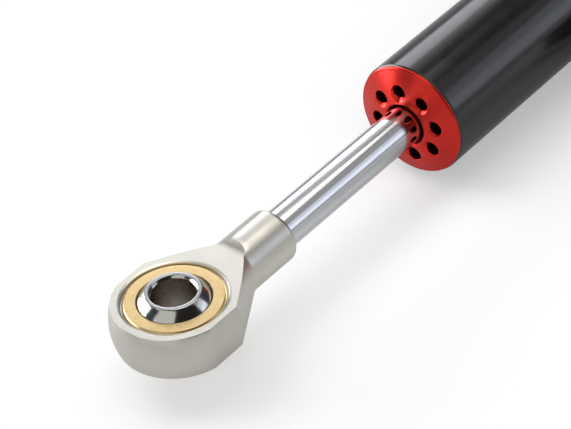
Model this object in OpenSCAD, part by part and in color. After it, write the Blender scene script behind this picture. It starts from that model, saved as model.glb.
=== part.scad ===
// Linear steering damper for a motorcycle: through-rod hydraulic cylinder with a rod end,
// a tube clamp with a spherical bearing and a click adjuster on the far end of the rod.
// Millimetres. The origin is the centre of the rod-end ball, +X runs along the rod
// towards the cylinder, and +Z runs along the bore of the ball.

/* [Spherical bearings] */
// Bore of the balls, for an 8 mm bolt
bearing_bore_d = 8; // [6:0.5:9]
// Diameter of the balls
ball_d = 15.875; // [14:0.125:16.5]
// Width of the balls over their flat ends
ball_w = 12; // [10:0.5:13]
// Chamfer at both ends of the ball bores
ball_chamfer = 0.5; // [0.2:0.1:0.6]
// Outer diameter of the races
race_d = 19; // [18:0.25:20]
// Width of the races
race_w = 8.6; // [7:0.2:9]
// Wall of the low-friction liners
liner_t = 0.2; // [0.15:0.05:0.3]
// Outer chamfer of the races
race_chamfer = 0.4; // [0.2:0.1:0.8]
// Width of the relief groove between race and housing at each face
seat_relief = 0.3; // [0.1:0.05:0.4]
// Depth of the relief groove
seat_relief_depth = 0.9; // [0.85:0.05:1.2]

/* [Rod end] */
// Diameter of the bar that the eye is turned from
eye_d = 24; // [22:0.5:28]
// Radius of the ball-nosed front of the eye
eye_nose_r = 12.4; // [12.1:0.1:14.5]
// Thickness over the milled flats
eye_t = 9; // [9:0.25:10.5]
// Distance from the ball centre to the start of the taper
taper_x = 4.1; // [2:0.1:6]
// Half angle of the taper
taper_angle = 30; // [28:1:38]
// Radius of the milling cutter's run-out
runout_r = 2.7; // [1.5:0.1:3.5]
// Diameter of the neck
neck_d = 11; // [10:0.25:12]
// Distance from the ball centre to the end of the neck
neck_x = 27.5; // [26:0.5:34]
// Rounding of the neck's end
neck_round = 1; // [0.4:0.1:1.2]
// Fillet between the taper and the neck
neck_fillet = 2.5; // [1.5:0.1:3]
// Chamfer at the mouth of the rod's thread
mouth_chamfer = 0.3; // [0.1:0.1:0.4]
// Countersink around the race
eye_countersink = 0.8; // [0.3:0.1:1]
// Depth that the rod is screwed into the neck
rod_engagement = 13; // [10:0.5:15]

/* [Rod] */
// Diameter of the rod
rod_d = 8; // [7.5:0.25:9]
// Bare rod between the neck and the front cap at mid stroke
rod_bare = 39.5; // [38:0.5:60]
// Diameter of the needle bore in the rod
rod_bore_d = 3.6; // [3.4:0.1:4]
// Diameter of the needle's seat bore
seat_bore_d = 2.4; // [2.2:0.1:2.8]
// Diameter of the bypass holes across the rod
bypass_d = 2; // [1:0.1:2.4]
// Land left between the piston stack and a bypass hole
bypass_land = 1.2; // [0.8:0.1:2]
// Distance from the piston's middle to the needle's seat edge
seat_offset = 2; // [1:0.1:4]
// Rod left behind the knob's retaining ring
rod_tail = 1.2; // [1:0.1:1.6]
// Chamfer at the rod's ends
rod_chamfer = 0.4; // [0.2:0.1:0.6]

/* [Cylinder] */
// Outer diameter of the tube
tube_d = 24; // [23.7:0.1:26]
// Bore of the tube
tube_bore_d = 20; // [19.6:0.1:20.4]
// Diameter of the cap threads
cap_thread_d = 21; // [20.8:0.1:21.6]
// Length of the cap threads
cap_thread_l = 9; // [6:0.5:10]
// Whole stroke of the rod
stroke = 68; // [50:1:74]
// Gap left between piston stack and cap at each end of the stroke
end_gap = 1; // [0.5:0.1:3]
// Small chamfer at the tube's ends
tube_chamfer = 0.25; // [0.1:0.05:0.5]

/* [Caps] */
// Diameter of the cap's rim
cap_d = 23.6; // [22:0.1:23.8]
// Width of the rim before its chamfer
cap_rim_w = 0.2; // [0.1:0.1:1]
// Chamfer of the rim
cap_chamfer = 0.4; // [0.2:0.1:0.8]
// Height of the domed face
cap_dish = 1.7; // [1:0.1:2.2]
// Bulge of the face over a straight cone
cap_bulge = 0.28; // [0.1:0.02:0.4]
// Diameter of the throat that the rod runs through
cap_throat_d = 9; // [8.8:0.1:9.6]
// Number of pin-spanner holes
pin_holes = 8; // [4:1:8]
// Diameter of the pin-spanner holes
pin_hole_d = 2.8; // [2:0.1:3]
// Countersink of the pin-spanner holes
pin_countersink = 0.4; // [0.1:0.1:0.5]
// Pitch circle of the pin-spanner holes
pin_circle_d = 14.3; // [14:0.1:16]
// Depth of the pin-spanner holes behind the tube's end
pin_hole_depth = 1.2; // [0.5:0.1:1.4]
// Angle of the first hole from +Y towards +Z
pin_angle = -10.5; // [-22:0.5:22]

/* [Seals and guides] */
// Wall between the pin-spanner holes' depth and the wiper
wiper_land = 1; // [0.8:0.1:1.4]
// Diameter of the wiper's groove
wiper_groove_d = 12.4; // [12:0.1:12.8]
// Width of the wiper
wiper_w = 2.8; // [2:0.1:3]
// Diameter of the rod seal's groove
seal_groove_d = 12.8; // [12.2:0.1:13.2]
// Width of the rod seal
seal_w = 3.2; // [2.6:0.1:3.6]
// Wall left between the grooves
groove_wall = 1.2; // [0.8:0.1:1.6]
// Outer diameter of the guide bush
bush_d = 10; // [9.8:0.1:10.8]
// Length of the guide bush
bush_l = 8; // [6:0.5:10]
// Thickness of the sealing lips
lip_t = 0.5; // [0.3:0.1:0.6]
// Depth of the cap O-ring's groove
oring_depth = 1.2; // [1:0.05:1.4]
// Width of the cap O-ring
oring_w = 1.5; // [1.4:0.1:2]

/* [Piston] */
// Length of the piston
piston_l = 9; // [8:0.5:12]
// Width of the piston ring
ring_w = 4.8; // [3:0.2:5.4]
// Radial thickness of the piston ring
ring_t = 1.35; // [1:0.05:1.6]
// Number of flow ports through the piston
ports = 6; // [3:1:8]
// Diameter of the flow ports
port_d = 1.6; // [1:0.1:1.8]
// Thickness of one shim
shim_t = 0.3; // [0.2:0.05:0.4]
// Diameter of the largest shim
shim_d = 15.6; // [15.2:0.1:16.4]
// Step in diameter from shim to shim
shim_step = 1.6; // [1:0.1:1.8]
// Number of shims on each side
shims = 3; // [2:1:4]
// Thickness of the support washers
washer_t = 1; // [0.8:0.1:1.4]
// Thickness of the retaining rings on the rod
circlip_t = 0.8; // [0.6:0.1:1]
// Depth of the retaining rings' grooves
circlip_depth = 0.5; // [0.3:0.05:0.6]
// Radial height of the retaining rings above the rod
circlip_rise = 1.4; // [1:0.1:1.6]

/* [Clamp] */
// Width of the clamp along the tube
clamp_w = 18; // [18:0.5:24]
// Outer diameter of the clamp's ring
clamp_d = 33; // [31:0.5:38]
// Height over the clamp's flat top and bottom
clamp_h = 29; // [28:0.5:30]
// Distance of the clamp's middle from the tube's middle
clamp_shift = 0; // [-8:0.5:8]
// Distance from the tube's axis to the pivot bearing
pivot_offset = 27; // [26:0.5:34]
// Diameter of the boss around the pivot bearing
boss_d = 26; // [24:0.5:30]
// Thickness of the boss
boss_t = 10; // [9:0.25:11]
// Width of the clamp's slit
slit_w = 1.5; // [1:0.1:2]
// Thickness over the two pinch ears
ear_t = 15; // [12:0.5:18]
// Distance from the tube's axis to the end of the ears
ear_reach = 25; // [24.5:0.5:30]
// Thread diameter of the pinch screws
pinch_screw_d = 5; // [4:0.5:5]
// Distance from the tube's axis to the pinch screws
pinch_screw_y = 19.5; // [19:0.25:20]
// Distance between the pinch screws
pinch_pitch = 9.4; // [9:0.2:9.6]
// Edge chamfer of the clamp's ring
clamp_chamfer = 0.6; // [0.2:0.1:1]

/* [Adjuster] */
// Room between the rear cap and the collar at full stroke
collar_room = 2; // [1:0.5:10]
// Diameter of the collar
collar_d = 16; // [15:0.5:20]
// Length of the collar
collar_l = 8; // [7.5:0.5:12]
// Thread diameter of the collar's grub screw
grub_d = 3; // [2.5:0.5:4]
// Distance from the collar's front face to its grub screw
grub_x = 2.2; // [2:0.1:2.4]
// Diameter of the knob
knob_d = 20; // [19:0.5:26]
// Length of the knob
knob_l = 15.5; // [15:0.5:22]
// Number of grip scallops around the knob
scallops = 12; // [8:1:16]
// Diameter of the scallop cutter
scallop_d = 4.4; // [3:0.2:5]
// Depth of the scallops
scallop_depth = 0.9; // [0.4:0.1:1.2]
// Plain band left in front of the scallops
scallop_start = 3; // [2:0.25:4]
// Length of the knob's bearing on the rod
knob_bearing_l = 6; // [5.5:0.25:7]
// Diameter of the threaded insert in the knob
insert_d = 12.4; // [12:0.1:13]
// Length of the threaded insert
insert_l = 5; // [4:0.25:5.5]
// Diameter of the insert's two spanner holes
insert_hole_d = 1.5; // [1:0.1:2]
// Depth of the insert's two spanner holes
insert_hole_depth = 1.5; // [1:0.25:3]
// Number of clicks in one turn
clicks = 24; // [12:1:24]
// Diameter of the click ball
click_ball_d = 2; // [1.8:0.1:2.1]
// Radius of the circle of click dimples
click_circle_r = 6; // [5.9:0.05:6.4]
// Travel of the click ball into a dimple
click_travel = 0.3; // [0.2:0.05:0.35]
// Length of the click spring
click_spring_l = 3; // [2:0.25:3.5]
// Turns of the click spring
click_turns = 5; // [3:1:5]
// Wire diameter of the click spring
click_wire_d = 0.32; // [0.2:0.02:0.32]

/* [Metering needle] */
// Diameter of the needle's stem
needle_d = 3; // [2.7:0.1:3.1]
// Diameter of the needle's threaded tail
needle_thread_d = 4; // [3.5:0.25:4.5]
// Pitch of the needle's left-hand thread
needle_pitch = 0.7; // [0.5:0.05:0.8]
// Length of the needle's tapered tip
needle_tip_l = 3; // [2:0.25:5]
// Diameter of the needle's tip end
needle_tip_d = 1.2; // [0.8:0.1:1.6]
// Distance from the piston stack to the middle of the needle's guide land
land_offset = 20; // [14:0.5:24]
// Length of the guide land
land_l = 3.2; // [2.6:0.1:4]
// Width of the O-ring in the guide land
needle_oring_w = 0.8; // [0.6:0.05:0.9]
// Depth of the O-ring's groove in the guide land
needle_oring_depth = 0.7; // [0.5:0.05:0.7]
// Diameter of the cross pin that keys the needle to the rod
key_d = 1.5; // [1:0.1:1.6]

/* [Fits] */
// Radial clearance of sliding and turning fits
run_fit = 0.04; // [0.02:0.01:0.08]
// Radial clearance of pieces that are pushed or screwed together
push_fit = 0.02; // [0.01:0.01:0.04]
// Axial clearance of a ring in its groove
side_fit = 0.1; // [0.05:0.01:0.15]
// Face-to-face gap between the collar and the turning knob
face_gap = 0.3; // [0.2:0.05:0.35]

/* [Hidden] */
$fn = 96;

// Finishes as the photograph shows them
BLACK_ANODISED = "#26272b";
RED_ANODISED = "#cf2a1e";
SATIN_ALUMINIUM = "#cfccc2";
HARD_CHROME = "#d8dade";
BRASS = "#d9b56b";
PALE_POLYMER = "#e9e6dc";
RUBBER = "#1d1d1f";
BRONZE = "#a9764a";
SPRING_STEEL = "#8f9297";

eps = 0.01;
throat_chamfer = 0.2;
thread_room = 0.5;
key_slot_room = 0.2;
key_pin_inset = 0.2;
tail_gap = 0.3;
tail_recess = 0.5;
thread_end_gap = 0.2;
cap_rod_gap = 0.25;
piston_gap = 0.1;
washer_rise = 0.4;
ring_gap = 3;
rod_r = rod_d / 2;
tube_r = tube_d / 2;
tube_bore_r = tube_bore_d / 2;

// Places along the axis, from the rod end to the knob
rod_start_x = neck_x - rod_engagement;
cap_height = cap_rim_w + cap_chamfer + cap_dish;
front_x = neck_x + rod_bare + cap_height;
wiper_at = pin_hole_depth + wiper_land;
seal_at = wiper_at + wiper_w + groove_wall;
bush_at = seal_at + seal_w + groove_wall;
spigot_l = bush_at + bush_l;
cap_oring_x = front_x + (cap_thread_l + spigot_l) / 2;
shim_stack_l = shims * shim_t;
stack_half = piston_l / 2 + shim_stack_l + washer_t + circlip_t;
tube_l = stroke + 2 * (stack_half + end_gap + spigot_l);
mid_x = front_x + tube_l / 2;
rear_x = front_x + tube_l;
clamp_x = mid_x + clamp_shift;
collar_x = rear_x + cap_height + stroke / 2 + collar_room;
knob_x = collar_x + collar_l + face_gap;
knob_ring_x = knob_x + knob_bearing_l + face_gap;
rod_end_x = knob_ring_x + circlip_t + rod_tail;
insert_x = knob_x + knob_l - insert_l;
bypass_x = stack_half + bypass_land + bypass_d / 2;
needle_travel = 150 / 360 * needle_pitch;
seat_x = mid_x + seat_offset;
land_x = mid_x + stack_half + land_offset;
key_x = knob_x + knob_bearing_l / 2;

// Bearing sizes that follow from the ball
ball_r = ball_d / 2;
liner_r = ball_r + run_fit / 2 + liner_t;
socket_r = liner_r + run_fit / 2;

// The taper of the rod end ends where it meets the neck
neck_r = neck_d / 2;
taper_end_x = taper_x + (eye_d / 2 - neck_r) / tan(taper_angle);

// Points of an arc around [x, radius] in an outline, from angle a to angle b
function arc(x, r, radius, a, b, steps = 6) =
  [for (i = [0:steps]) [x + radius * cos(a + (b - a) * i / steps), r + radius * sin(a + (b - a) * i / steps)]];

// Solid turned about the X axis from an outline of [x, radius] points
module turned(outline) {
  rotate([0, 90, 0])
    rotate_extrude()
      polygon([for (p = outline) [p[1], p[0]]]);
}

// Straight rod of radius r along +X that starts at x
module bar(x, length, r) {
  translate([x, 0, 0])
    rotate([0, 90, 0])
      cylinder(h = length, r = r);
}

// Tube along +X between an inner and an outer radius
module sleeve(x, length, outer_r, inner_r) {
  difference() {
    bar(x, length, outer_r);
    bar(x - 1, length + 2, inner_r);
  }
}

// Everything inside is placed again at the rear end, turned round to face backwards
module at_rear() {
  translate([front_x + rear_x, 0, 0])
    mirror([1, 0, 0])
      children();
}

// Squeezed round-section ring: two half-round flanks joined by a flat band
module squeezed_ring(x, inner_r, outer_r, width) {
  half = (outer_r - inner_r) / 2;
  flat = (width - 2 * half) / 2;
  rotate([0, 90, 0])
    rotate_extrude()
      translate([inner_r + half, x]) {
        for (side = [-1, 1])
          translate([0, side * flat])
            circle(r = half, $fn = 32);
        square([2 * half, 2 * flat], center = true);
      }
}

// Open spring-steel retaining ring around the X axis, with its gap towards +Z
module retaining_ring(x, inner_r, outer_r, gap) {
  difference() {
    sleeve(x, circlip_t, outer_r, inner_r);
    translate([x - 1, -gap / 2, 0])
      cube([circlip_t + 2, gap, outer_r + 1]);
  }
}

// Outer race with a spherical seat and chamfered rims, around the Z axis
module race() {
  difference() {
    intersection() {
      cylinder(h = race_w, r = race_d / 2, center = true);
      for (side = [0, 1])
        mirror([0, 0, side])
          translate([0, 0, -eps])
            cylinder(h = race_w / 2 + eps, r1 = race_d / 2 - race_chamfer + race_w / 2, r2 = race_d / 2 - race_chamfer);
    }
    sphere(r = socket_r);
  }
}

// Low-friction liner between race and ball
module liner() {
  difference() {
    sphere(r = liner_r);
    sphere(r = liner_r - liner_t);
    for (side = [-1, 1])
      translate([0, 0, side * (race_w / 2 - side_fit + liner_r)])
        cube(2 * liner_r, center = true);
  }
}

// Ball with flat ends, a through bore and a chamfer at each end of the bore
module ball() {
  bore_r = bearing_bore_d / 2;
  difference() {
    sphere(r = ball_r);
    cylinder(h = ball_w + 2, r = bore_r, center = true);
    for (side = [0, 1])
      mirror([0, 0, side]) {
        translate([0, 0, ball_w / 2])
          cylinder(h = ball_r, r = ball_r);
        translate([0, 0, ball_w / 2 - ball_chamfer])
          cylinder(h = ball_chamfer + eps, r1 = bore_r, r2 = bore_r + ball_chamfer + eps);
      }
  }
}

// Seat for a race: a bore with a relief groove and a countersink at each face of a plate
module race_seat(plate_t) {
  seat_r = race_d / 2 + push_fit;
  cylinder(h = plate_t + 2, r = seat_r, center = true);
  for (side = [0, 1])
    mirror([0, 0, side]) {
      translate([0, 0, plate_t / 2 - seat_relief_depth])
        cylinder(h = seat_relief_depth + 1, r = seat_r + seat_relief);
      translate([0, 0, plate_t / 2 - eye_countersink])
        cylinder(h = eye_countersink + eps, r1 = seat_r, r2 = seat_r + eye_countersink + eps);
    }
}

// Cylinder tube with a wider, threaded stretch at each end
module cylinder_tube() {
  thread_r = cap_thread_d / 2 + push_fit;
  color(BLACK_ANODISED)
    difference() {
      turned([
        [front_x, 0],
        [front_x, tube_r - tube_chamfer],
        [front_x + tube_chamfer, tube_r],
        [rear_x - tube_chamfer, tube_r],
        [rear_x, tube_r - tube_chamfer],
        [rear_x, 0]
      ]);
      bar(front_x - 1, tube_l + 2, tube_bore_r);
      bar(front_x - 1, cap_thread_l + 1, thread_r);
      bar(rear_x - cap_thread_l, cap_thread_l + 1, thread_r);
    }
}

// Outline of the cap's domed face, from its throat to its chamfer
function cap_face(steps = 6) =
  let (
    near = [front_x - cap_height, cap_throat_d / 2 + throat_chamfer],
    far = [front_x - cap_rim_w - cap_chamfer, cap_d / 2 - cap_chamfer]
  )
  [for (i = [0:steps]) let (t = i / steps) near + t * (far - near) - [4 * cap_bulge * t * (1 - t), 0]];

// Height of the face at the pitch circle of the pin-spanner holes
function pin_face_x() =
  let (t = (pin_circle_d - cap_throat_d - 2 * throat_chamfer) / (cap_d - 2 * cap_chamfer - cap_throat_d - 2 * throat_chamfer))
  front_x - cap_height + t * cap_dish - 4 * cap_bulge * t * (1 - t);

// Pin-spanner hole with its countersink, at its place on the pitch circle
module pin_hole() {
  mouth_x = pin_face_x();
  lead = 1;
  translate([0, pin_circle_d / 2, 0]) {
    bar(mouth_x - lead, front_x - mouth_x + lead + pin_hole_depth, pin_hole_d / 2);
    translate([mouth_x - lead, 0, 0])
      rotate([0, 90, 0])
        cylinder(
          h = lead + pin_countersink,
          r1 = pin_hole_d / 2 + pin_countersink + lead,
          r2 = pin_hole_d / 2
        );
  }
}

// End cap: domed face with pin-spanner holes, threaded spigot, seal grooves and bush seat
module cap() {
  rim_r = cap_d / 2;
  spigot_r = tube_bore_r - push_fit;
  groove_r = tube_bore_r - oring_depth;
  groove_w = oring_w + 2 * side_fit;
  groove_x = cap_oring_x - groove_w / 2;
  face_x = front_x - cap_height;
  color(RED_ANODISED)
    difference() {
      turned(concat(
        [[face_x, 0]],
        cap_face(),
        [
          [front_x - cap_rim_w, rim_r],
          [front_x, rim_r],
          [front_x, cap_thread_d / 2],
          [front_x + cap_thread_l - thread_end_gap, cap_thread_d / 2],
          [front_x + cap_thread_l - thread_end_gap, spigot_r],
          [front_x + spigot_l, spigot_r],
          [front_x + spigot_l, 0]
        ]
      ));
      bar(face_x - 1, cap_height + wiper_at + 2, cap_throat_d / 2);
      bar(face_x - 1, cap_height + spigot_l + 2, rod_r + cap_rod_gap);
      bar(front_x + wiper_at, wiper_w + 2 * side_fit, wiper_groove_d / 2);
      bar(front_x + seal_at, seal_w + 2 * side_fit, seal_groove_d / 2);
      bar(front_x + bush_at, bush_l + 1, bush_d / 2);
      sleeve(groove_x, groove_w, tube_bore_r + 1, groove_r);
      for (i = [0:pin_holes - 1])
        rotate([pin_angle + i * 360 / pin_holes, 0, 0])
          pin_hole();
    }
}

module front_cap() {
  cap();
}

module rear_cap() {
  at_rear() cap();
}

// Wiper: a ring with one outward-facing lip that runs on the rod
module wiper() {
  base_r = wiper_groove_d / 2 - push_fit;
  lip_r = rod_r + run_fit;
  x = front_x + wiper_at + side_fit;
  color(RUBBER)
    turned([
      [x, base_r],
      [x + wiper_w, base_r],
      [x + wiper_w, lip_r + lip_t],
      [x + 0.4 * wiper_w, lip_r + 0.8 * lip_t],
      [x + 0.3 * lip_t, lip_r],
      [x, lip_r + 0.2 * lip_t]
    ]);
}

module front_wiper() {
  wiper();
}

module rear_wiper() {
  at_rear() wiper();
}

// Rod seal: a cup with an inner and an outer lip, open towards the oil
module rod_seal() {
  outer_r = seal_groove_d / 2 - push_fit;
  lip_r = rod_r + run_fit;
  mid_r = (outer_r + lip_r) / 2;
  heel_relief = 0.2;
  x = front_x + seal_at + side_fit;
  color(RUBBER)
    turned([
      [x, lip_r + heel_relief],
      [x, outer_r - heel_relief],
      [x + seal_w, outer_r],
      [x + seal_w, outer_r - lip_t],
      [x + seal_w / 2, mid_r],
      [x + seal_w, lip_r + lip_t],
      [x + seal_w, lip_r]
    ]);
}

module front_rod_seal() {
  rod_seal();
}

module rear_rod_seal() {
  at_rear() rod_seal();
}

// Thin-wall guide bush pressed into the cap
module guide_bush() {
  color(BRONZE)
    sleeve(front_x + bush_at, bush_l, bush_d / 2, rod_r + run_fit);
}

module front_guide_bush() {
  guide_bush();
}

module rear_guide_bush() {
  at_rear() guide_bush();
}

module cap_oring() {
  color(RUBBER)
    squeezed_ring(cap_oring_x, tube_bore_r - oring_depth + push_fit, tube_bore_r - push_fit, oring_w);
}

module front_cap_oring() {
  cap_oring();
}

module rear_cap_oring() {
  at_rear() cap_oring();
}

// Ring part of the clamp with its bevelled rims, flat on top and below
module clamp_ring() {
  r = clamp_d / 2;
  intersection() {
    turned([
      [clamp_x - clamp_w / 2, 0],
      [clamp_x - clamp_w / 2, r - clamp_chamfer],
      [clamp_x - clamp_w / 2 + clamp_chamfer, r],
      [clamp_x + clamp_w / 2 - clamp_chamfer, r],
      [clamp_x + clamp_w / 2, r - clamp_chamfer],
      [clamp_x + clamp_w / 2, 0]
    ]);
    translate([clamp_x, 0, 0])
      cube([clamp_w + 2, clamp_d + 2, clamp_h], center = true);
  }
}

// Arm and round boss for the pivot bearing, with sides that run tangent to the boss
module clamp_boss() {
  r = boss_d / 2;
  root_y = tube_r + 2;
  reach = pivot_offset - root_y;
  span = norm([clamp_w / 2, reach]);
  tangent = atan2(reach, clamp_w / 2) - acos(min(1, r / span));
  tangent_x = r * cos(tangent);
  tangent_y = r * sin(tangent) - pivot_offset;
  translate([clamp_x, 0, -boss_t / 2]) {
    linear_extrude(height = boss_t)
      polygon([
        [-clamp_w / 2, -root_y],
        [clamp_w / 2, -root_y],
        [tangent_x, tangent_y],
        [-tangent_x, tangent_y]
      ]);
    translate([0, -pivot_offset, 0])
      cylinder(h = boss_t, r = r);
  }
}

// The two pinch ears before they are parted by the slit
module clamp_ears() {
  bevel = 2;
  translate([clamp_x, 0, -ear_t / 2])
    linear_extrude(height = ear_t)
      polygon([
        [-clamp_w / 2, tube_r + 1],
        [clamp_w / 2, tube_r + 1],
        [clamp_w / 2, ear_reach - bevel],
        [clamp_w / 2 - bevel, ear_reach],
        [bevel - clamp_w / 2, ear_reach],
        [-clamp_w / 2, ear_reach - bevel]
      ]);
}

module at_pinch_screws() {
  for (side = [-1, 1])
    translate([clamp_x + side * pinch_pitch / 2, pinch_screw_y, 0])
      children();
}

// One-piece tube clamp: split ring, pinch ears on one side and bearing boss on the other
module tube_clamp() {
  color(BLACK_ANODISED)
    difference() {
      union() {
        clamp_ring();
        clamp_boss();
        clamp_ears();
      }
      bar(clamp_x - clamp_w / 2 - 1, clamp_w + 2, tube_r + push_fit);
      translate([clamp_x - clamp_w / 2 - 1, 0, -slit_w / 2])
        cube([clamp_w + 2, ear_reach + 1, slit_w]);
      translate([clamp_x, -pivot_offset, 0])
        race_seat(boss_t);
      at_pinch_screws()
        cylinder(h = ear_t + 2, r = pinch_screw_d / 2 + push_fit, center = true);
    }
}

// Two socket-head screws that pinch the clamp; the lower ear is threaded
module pinch_screws() {
  head_r = 0.85 * pinch_screw_d;
  head_chamfer = 0.4;
  head_h = pinch_screw_d;
  socket_r = 0.46 * pinch_screw_d;
  socket_depth = 0.55 * pinch_screw_d;
  seat_z = ear_t / 2;
  point_recess = 1;
  color(SPRING_STEEL)
    at_pinch_screws()
      difference() {
        union() {
          translate([0, 0, point_recess - seat_z])
            cylinder(h = 2 * seat_z - point_recess, r = pinch_screw_d / 2);
          translate([0, 0, seat_z])
            cylinder(h = head_h - head_chamfer, r = head_r);
          translate([0, 0, seat_z + head_h - head_chamfer])
            cylinder(h = head_chamfer, r1 = head_r, r2 = head_r - head_chamfer);
        }
        translate([0, 0, seat_z + head_h - socket_depth])
          cylinder(h = head_h, r = socket_r, $fn = 6);
      }
}

module clamp_bearing_race() {
  color(BRASS)
    translate([clamp_x, -pivot_offset, 0])
      race();
}

module clamp_bearing_liner() {
  color(PALE_POLYMER)
    translate([clamp_x, -pivot_offset, 0])
      liner();
}

module clamp_bearing_ball() {
  color(HARD_CHROME)
    translate([clamp_x, -pivot_offset, 0])
      ball();
}

// Low-friction band that seals the piston against the tube
module piston_ring() {
  outer_r = tube_bore_r - run_fit;
  color(PALE_POLYMER)
    sleeve(mid_x - ring_w / 2, ring_w, outer_r, outer_r - ring_t);
}

// Hollow rod with grooves for the retaining rings, bypass holes, needle seat and key slot
module piston_rod() {
  groove_r = rod_r - circlip_depth;
  key_slot = key_d + 2 * (needle_travel + key_slot_room);
  color(HARD_CHROME)
    difference() {
      turned([
        [rod_start_x, 0],
        [rod_start_x, rod_r - rod_chamfer],
        [rod_start_x + rod_chamfer, rod_r],
        [rod_end_x - rod_chamfer, rod_r],
        [rod_end_x, rod_r - rod_chamfer],
        [rod_end_x, 0]
      ]);
      bar(seat_x, rod_end_x - seat_x + 1, rod_bore_d / 2);
      bar(mid_x - bypass_x - bypass_d, seat_x - mid_x + bypass_x + bypass_d + 1, seat_bore_d / 2);
      for (side = [-1, 1])
        translate([mid_x + side * bypass_x, 0, 0])
          cylinder(h = rod_d + 2, r = bypass_d / 2, center = true);
      for (x = [mid_x - stack_half, mid_x + stack_half - circlip_t, knob_ring_x])
        sleeve(x, circlip_t, rod_r + 1, groove_r);
      translate([key_x - key_slot / 2, -rod_r - 1, -key_d / 2 - push_fit])
        cube([key_slot, rod_d + 2, key_d + 2 * push_fit]);
    }
}

// Piston with a ring groove and flow ports
module piston() {
  groove_w = ring_w + 2 * side_fit;
  groove_r = tube_bore_r - 2 * run_fit - ring_t;
  port_circle_r = (rod_r + groove_r) / 2;
  color(BRONZE)
    difference() {
      sleeve(mid_x - piston_l / 2, piston_l, tube_bore_r - piston_gap, rod_r + push_fit);
      sleeve(mid_x - groove_w / 2, groove_w, tube_bore_r + 1, groove_r);
      for (i = [0:ports - 1])
        rotate([i * 360 / ports, 0, 0])
          translate([0, port_circle_r, 0])
            bar(mid_x - piston_l / 2 - 1, piston_l + 2, port_d / 2);
    }
}

// Flexible valve shims, the largest against the piston
module shim_stack(side) {
  color(SPRING_STEEL)
    for (i = [0:shims - 1]) {
      near = piston_l / 2 + i * shim_t;
      x = side > 0 ? mid_x + near : mid_x - near - shim_t;
      sleeve(x, shim_t, (shim_d - i * shim_step) / 2, rod_r + push_fit);
    }
}

module front_shims() {
  shim_stack(-1);
}

module rear_shims() {
  shim_stack(1);
}

// Stiff washers that back the shims
module support_washers() {
  near = piston_l / 2 + shim_stack_l;
  outer_r = rod_r + circlip_rise + washer_rise;
  color(SPRING_STEEL)
    for (x = [mid_x - near - washer_t, mid_x + near])
      sleeve(x, washer_t, outer_r, rod_r + push_fit);
}

module piston_retaining_rings() {
  color(SPRING_STEEL)
    for (x = [mid_x - stack_half, mid_x + stack_half - circlip_t])
      retaining_ring(x, rod_r - circlip_depth + push_fit, rod_r + circlip_rise, ring_gap);
}

// Eye turned from bar, with milled flats that run out towards the neck
module rod_end_housing() {
  eye_r = eye_d / 2;
  thread_r = rod_r + push_fit;
  lean = neck_fillet * tan(taper_angle / 2);
  runout_x = taper_end_x - 0.2;
  color(SATIN_ALUMINIUM)
    difference() {
      union() {
        intersection() {
          sphere(r = eye_nose_r);
          bar(-eye_nose_r - 1, eye_nose_r + 1, eye_r);
        }
        turned(concat(
          [[0, 0], [0, eye_r], [taper_x, eye_r]],
          arc(taper_end_x + lean, neck_r + neck_fillet, neck_fillet, 270 - taper_angle, 270, 4),
          arc(neck_x - neck_round, neck_r - neck_round, neck_round, 90, 0, 5),
          [[neck_x, 0]]
        ));
      }
      for (side = [0, 1])
        mirror([0, 0, side])
          translate([0, 0, eye_t / 2]) {
            translate([-eye_nose_r - 1, -eye_d, 0])
              cube([eye_nose_r + 1 + runout_x, 2 * eye_d, eye_d]);
            translate([runout_x, 0, runout_r])
              rotate([90, 0, 0])
                cylinder(h = 2 * eye_d, r = runout_r, center = true);
          }
      race_seat(eye_t);
      bar(rod_start_x - thread_room, rod_engagement + thread_room + 1, thread_r);
      translate([neck_x - mouth_chamfer, 0, 0])
        rotate([0, 90, 0])
          cylinder(h = 2 * mouth_chamfer, r1 = thread_r, r2 = thread_r + 2 * mouth_chamfer);
    }
}

module rod_end_race() {
  color(BRASS) race();
}

module rod_end_liner() {
  color(PALE_POLYMER) liner();
}

module rod_end_ball() {
  color(HARD_CHROME) ball();
}

// Collar fixed on the rod; it holds the click ball and its spring
module adjuster_collar() {
  chamfer = 0.5;
  r = collar_d / 2;
  color(BLACK_ANODISED)
    difference() {
      turned([
        [collar_x, 0],
        [collar_x, r - chamfer],
        [collar_x + chamfer, r],
        [collar_x + collar_l - chamfer, r],
        [collar_x + collar_l, r - chamfer],
        [collar_x + collar_l, 0]
      ]);
      bar(collar_x - 1, collar_l + 2, rod_r + push_fit);
      at_click()
        bar(click_pocket_x(), collar_l, click_ball_d / 2 + run_fit);
      translate([collar_x + grub_x, 0, 0])
        rotate([90, 0, 0])
          cylinder(h = r + 1, r = grub_d / 2 + push_fit);
    }
}

// Bottom of the blind hole behind the click ball
function click_pocket_x() = click_x() - click_ball_d / 2 - face_gap - click_spring_l;

// Middle of the click ball when it is held back clear of the knob
function click_x() = knob_x - run_fit - click_ball_d / 2;

module at_click() {
  translate([0, 0, click_circle_r])
    children();
}

// Cup-point grub screw that locks the collar, with a hexagon socket
module collar_grub_screw() {
  head_recess = 0.65;
  point_gap = 0.05;
  length = collar_d / 2 - head_recess - rod_r - point_gap;
  color(SPRING_STEEL)
    translate([collar_x + grub_x, -rod_r - point_gap, 0])
      rotate([90, 0, 0])
        difference() {
          cylinder(h = length, r = grub_d / 2);
          translate([0, 0, length / 2])
            cylinder(h = length, r = grub_d / 4, $fn = 6);
        }
}

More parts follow.
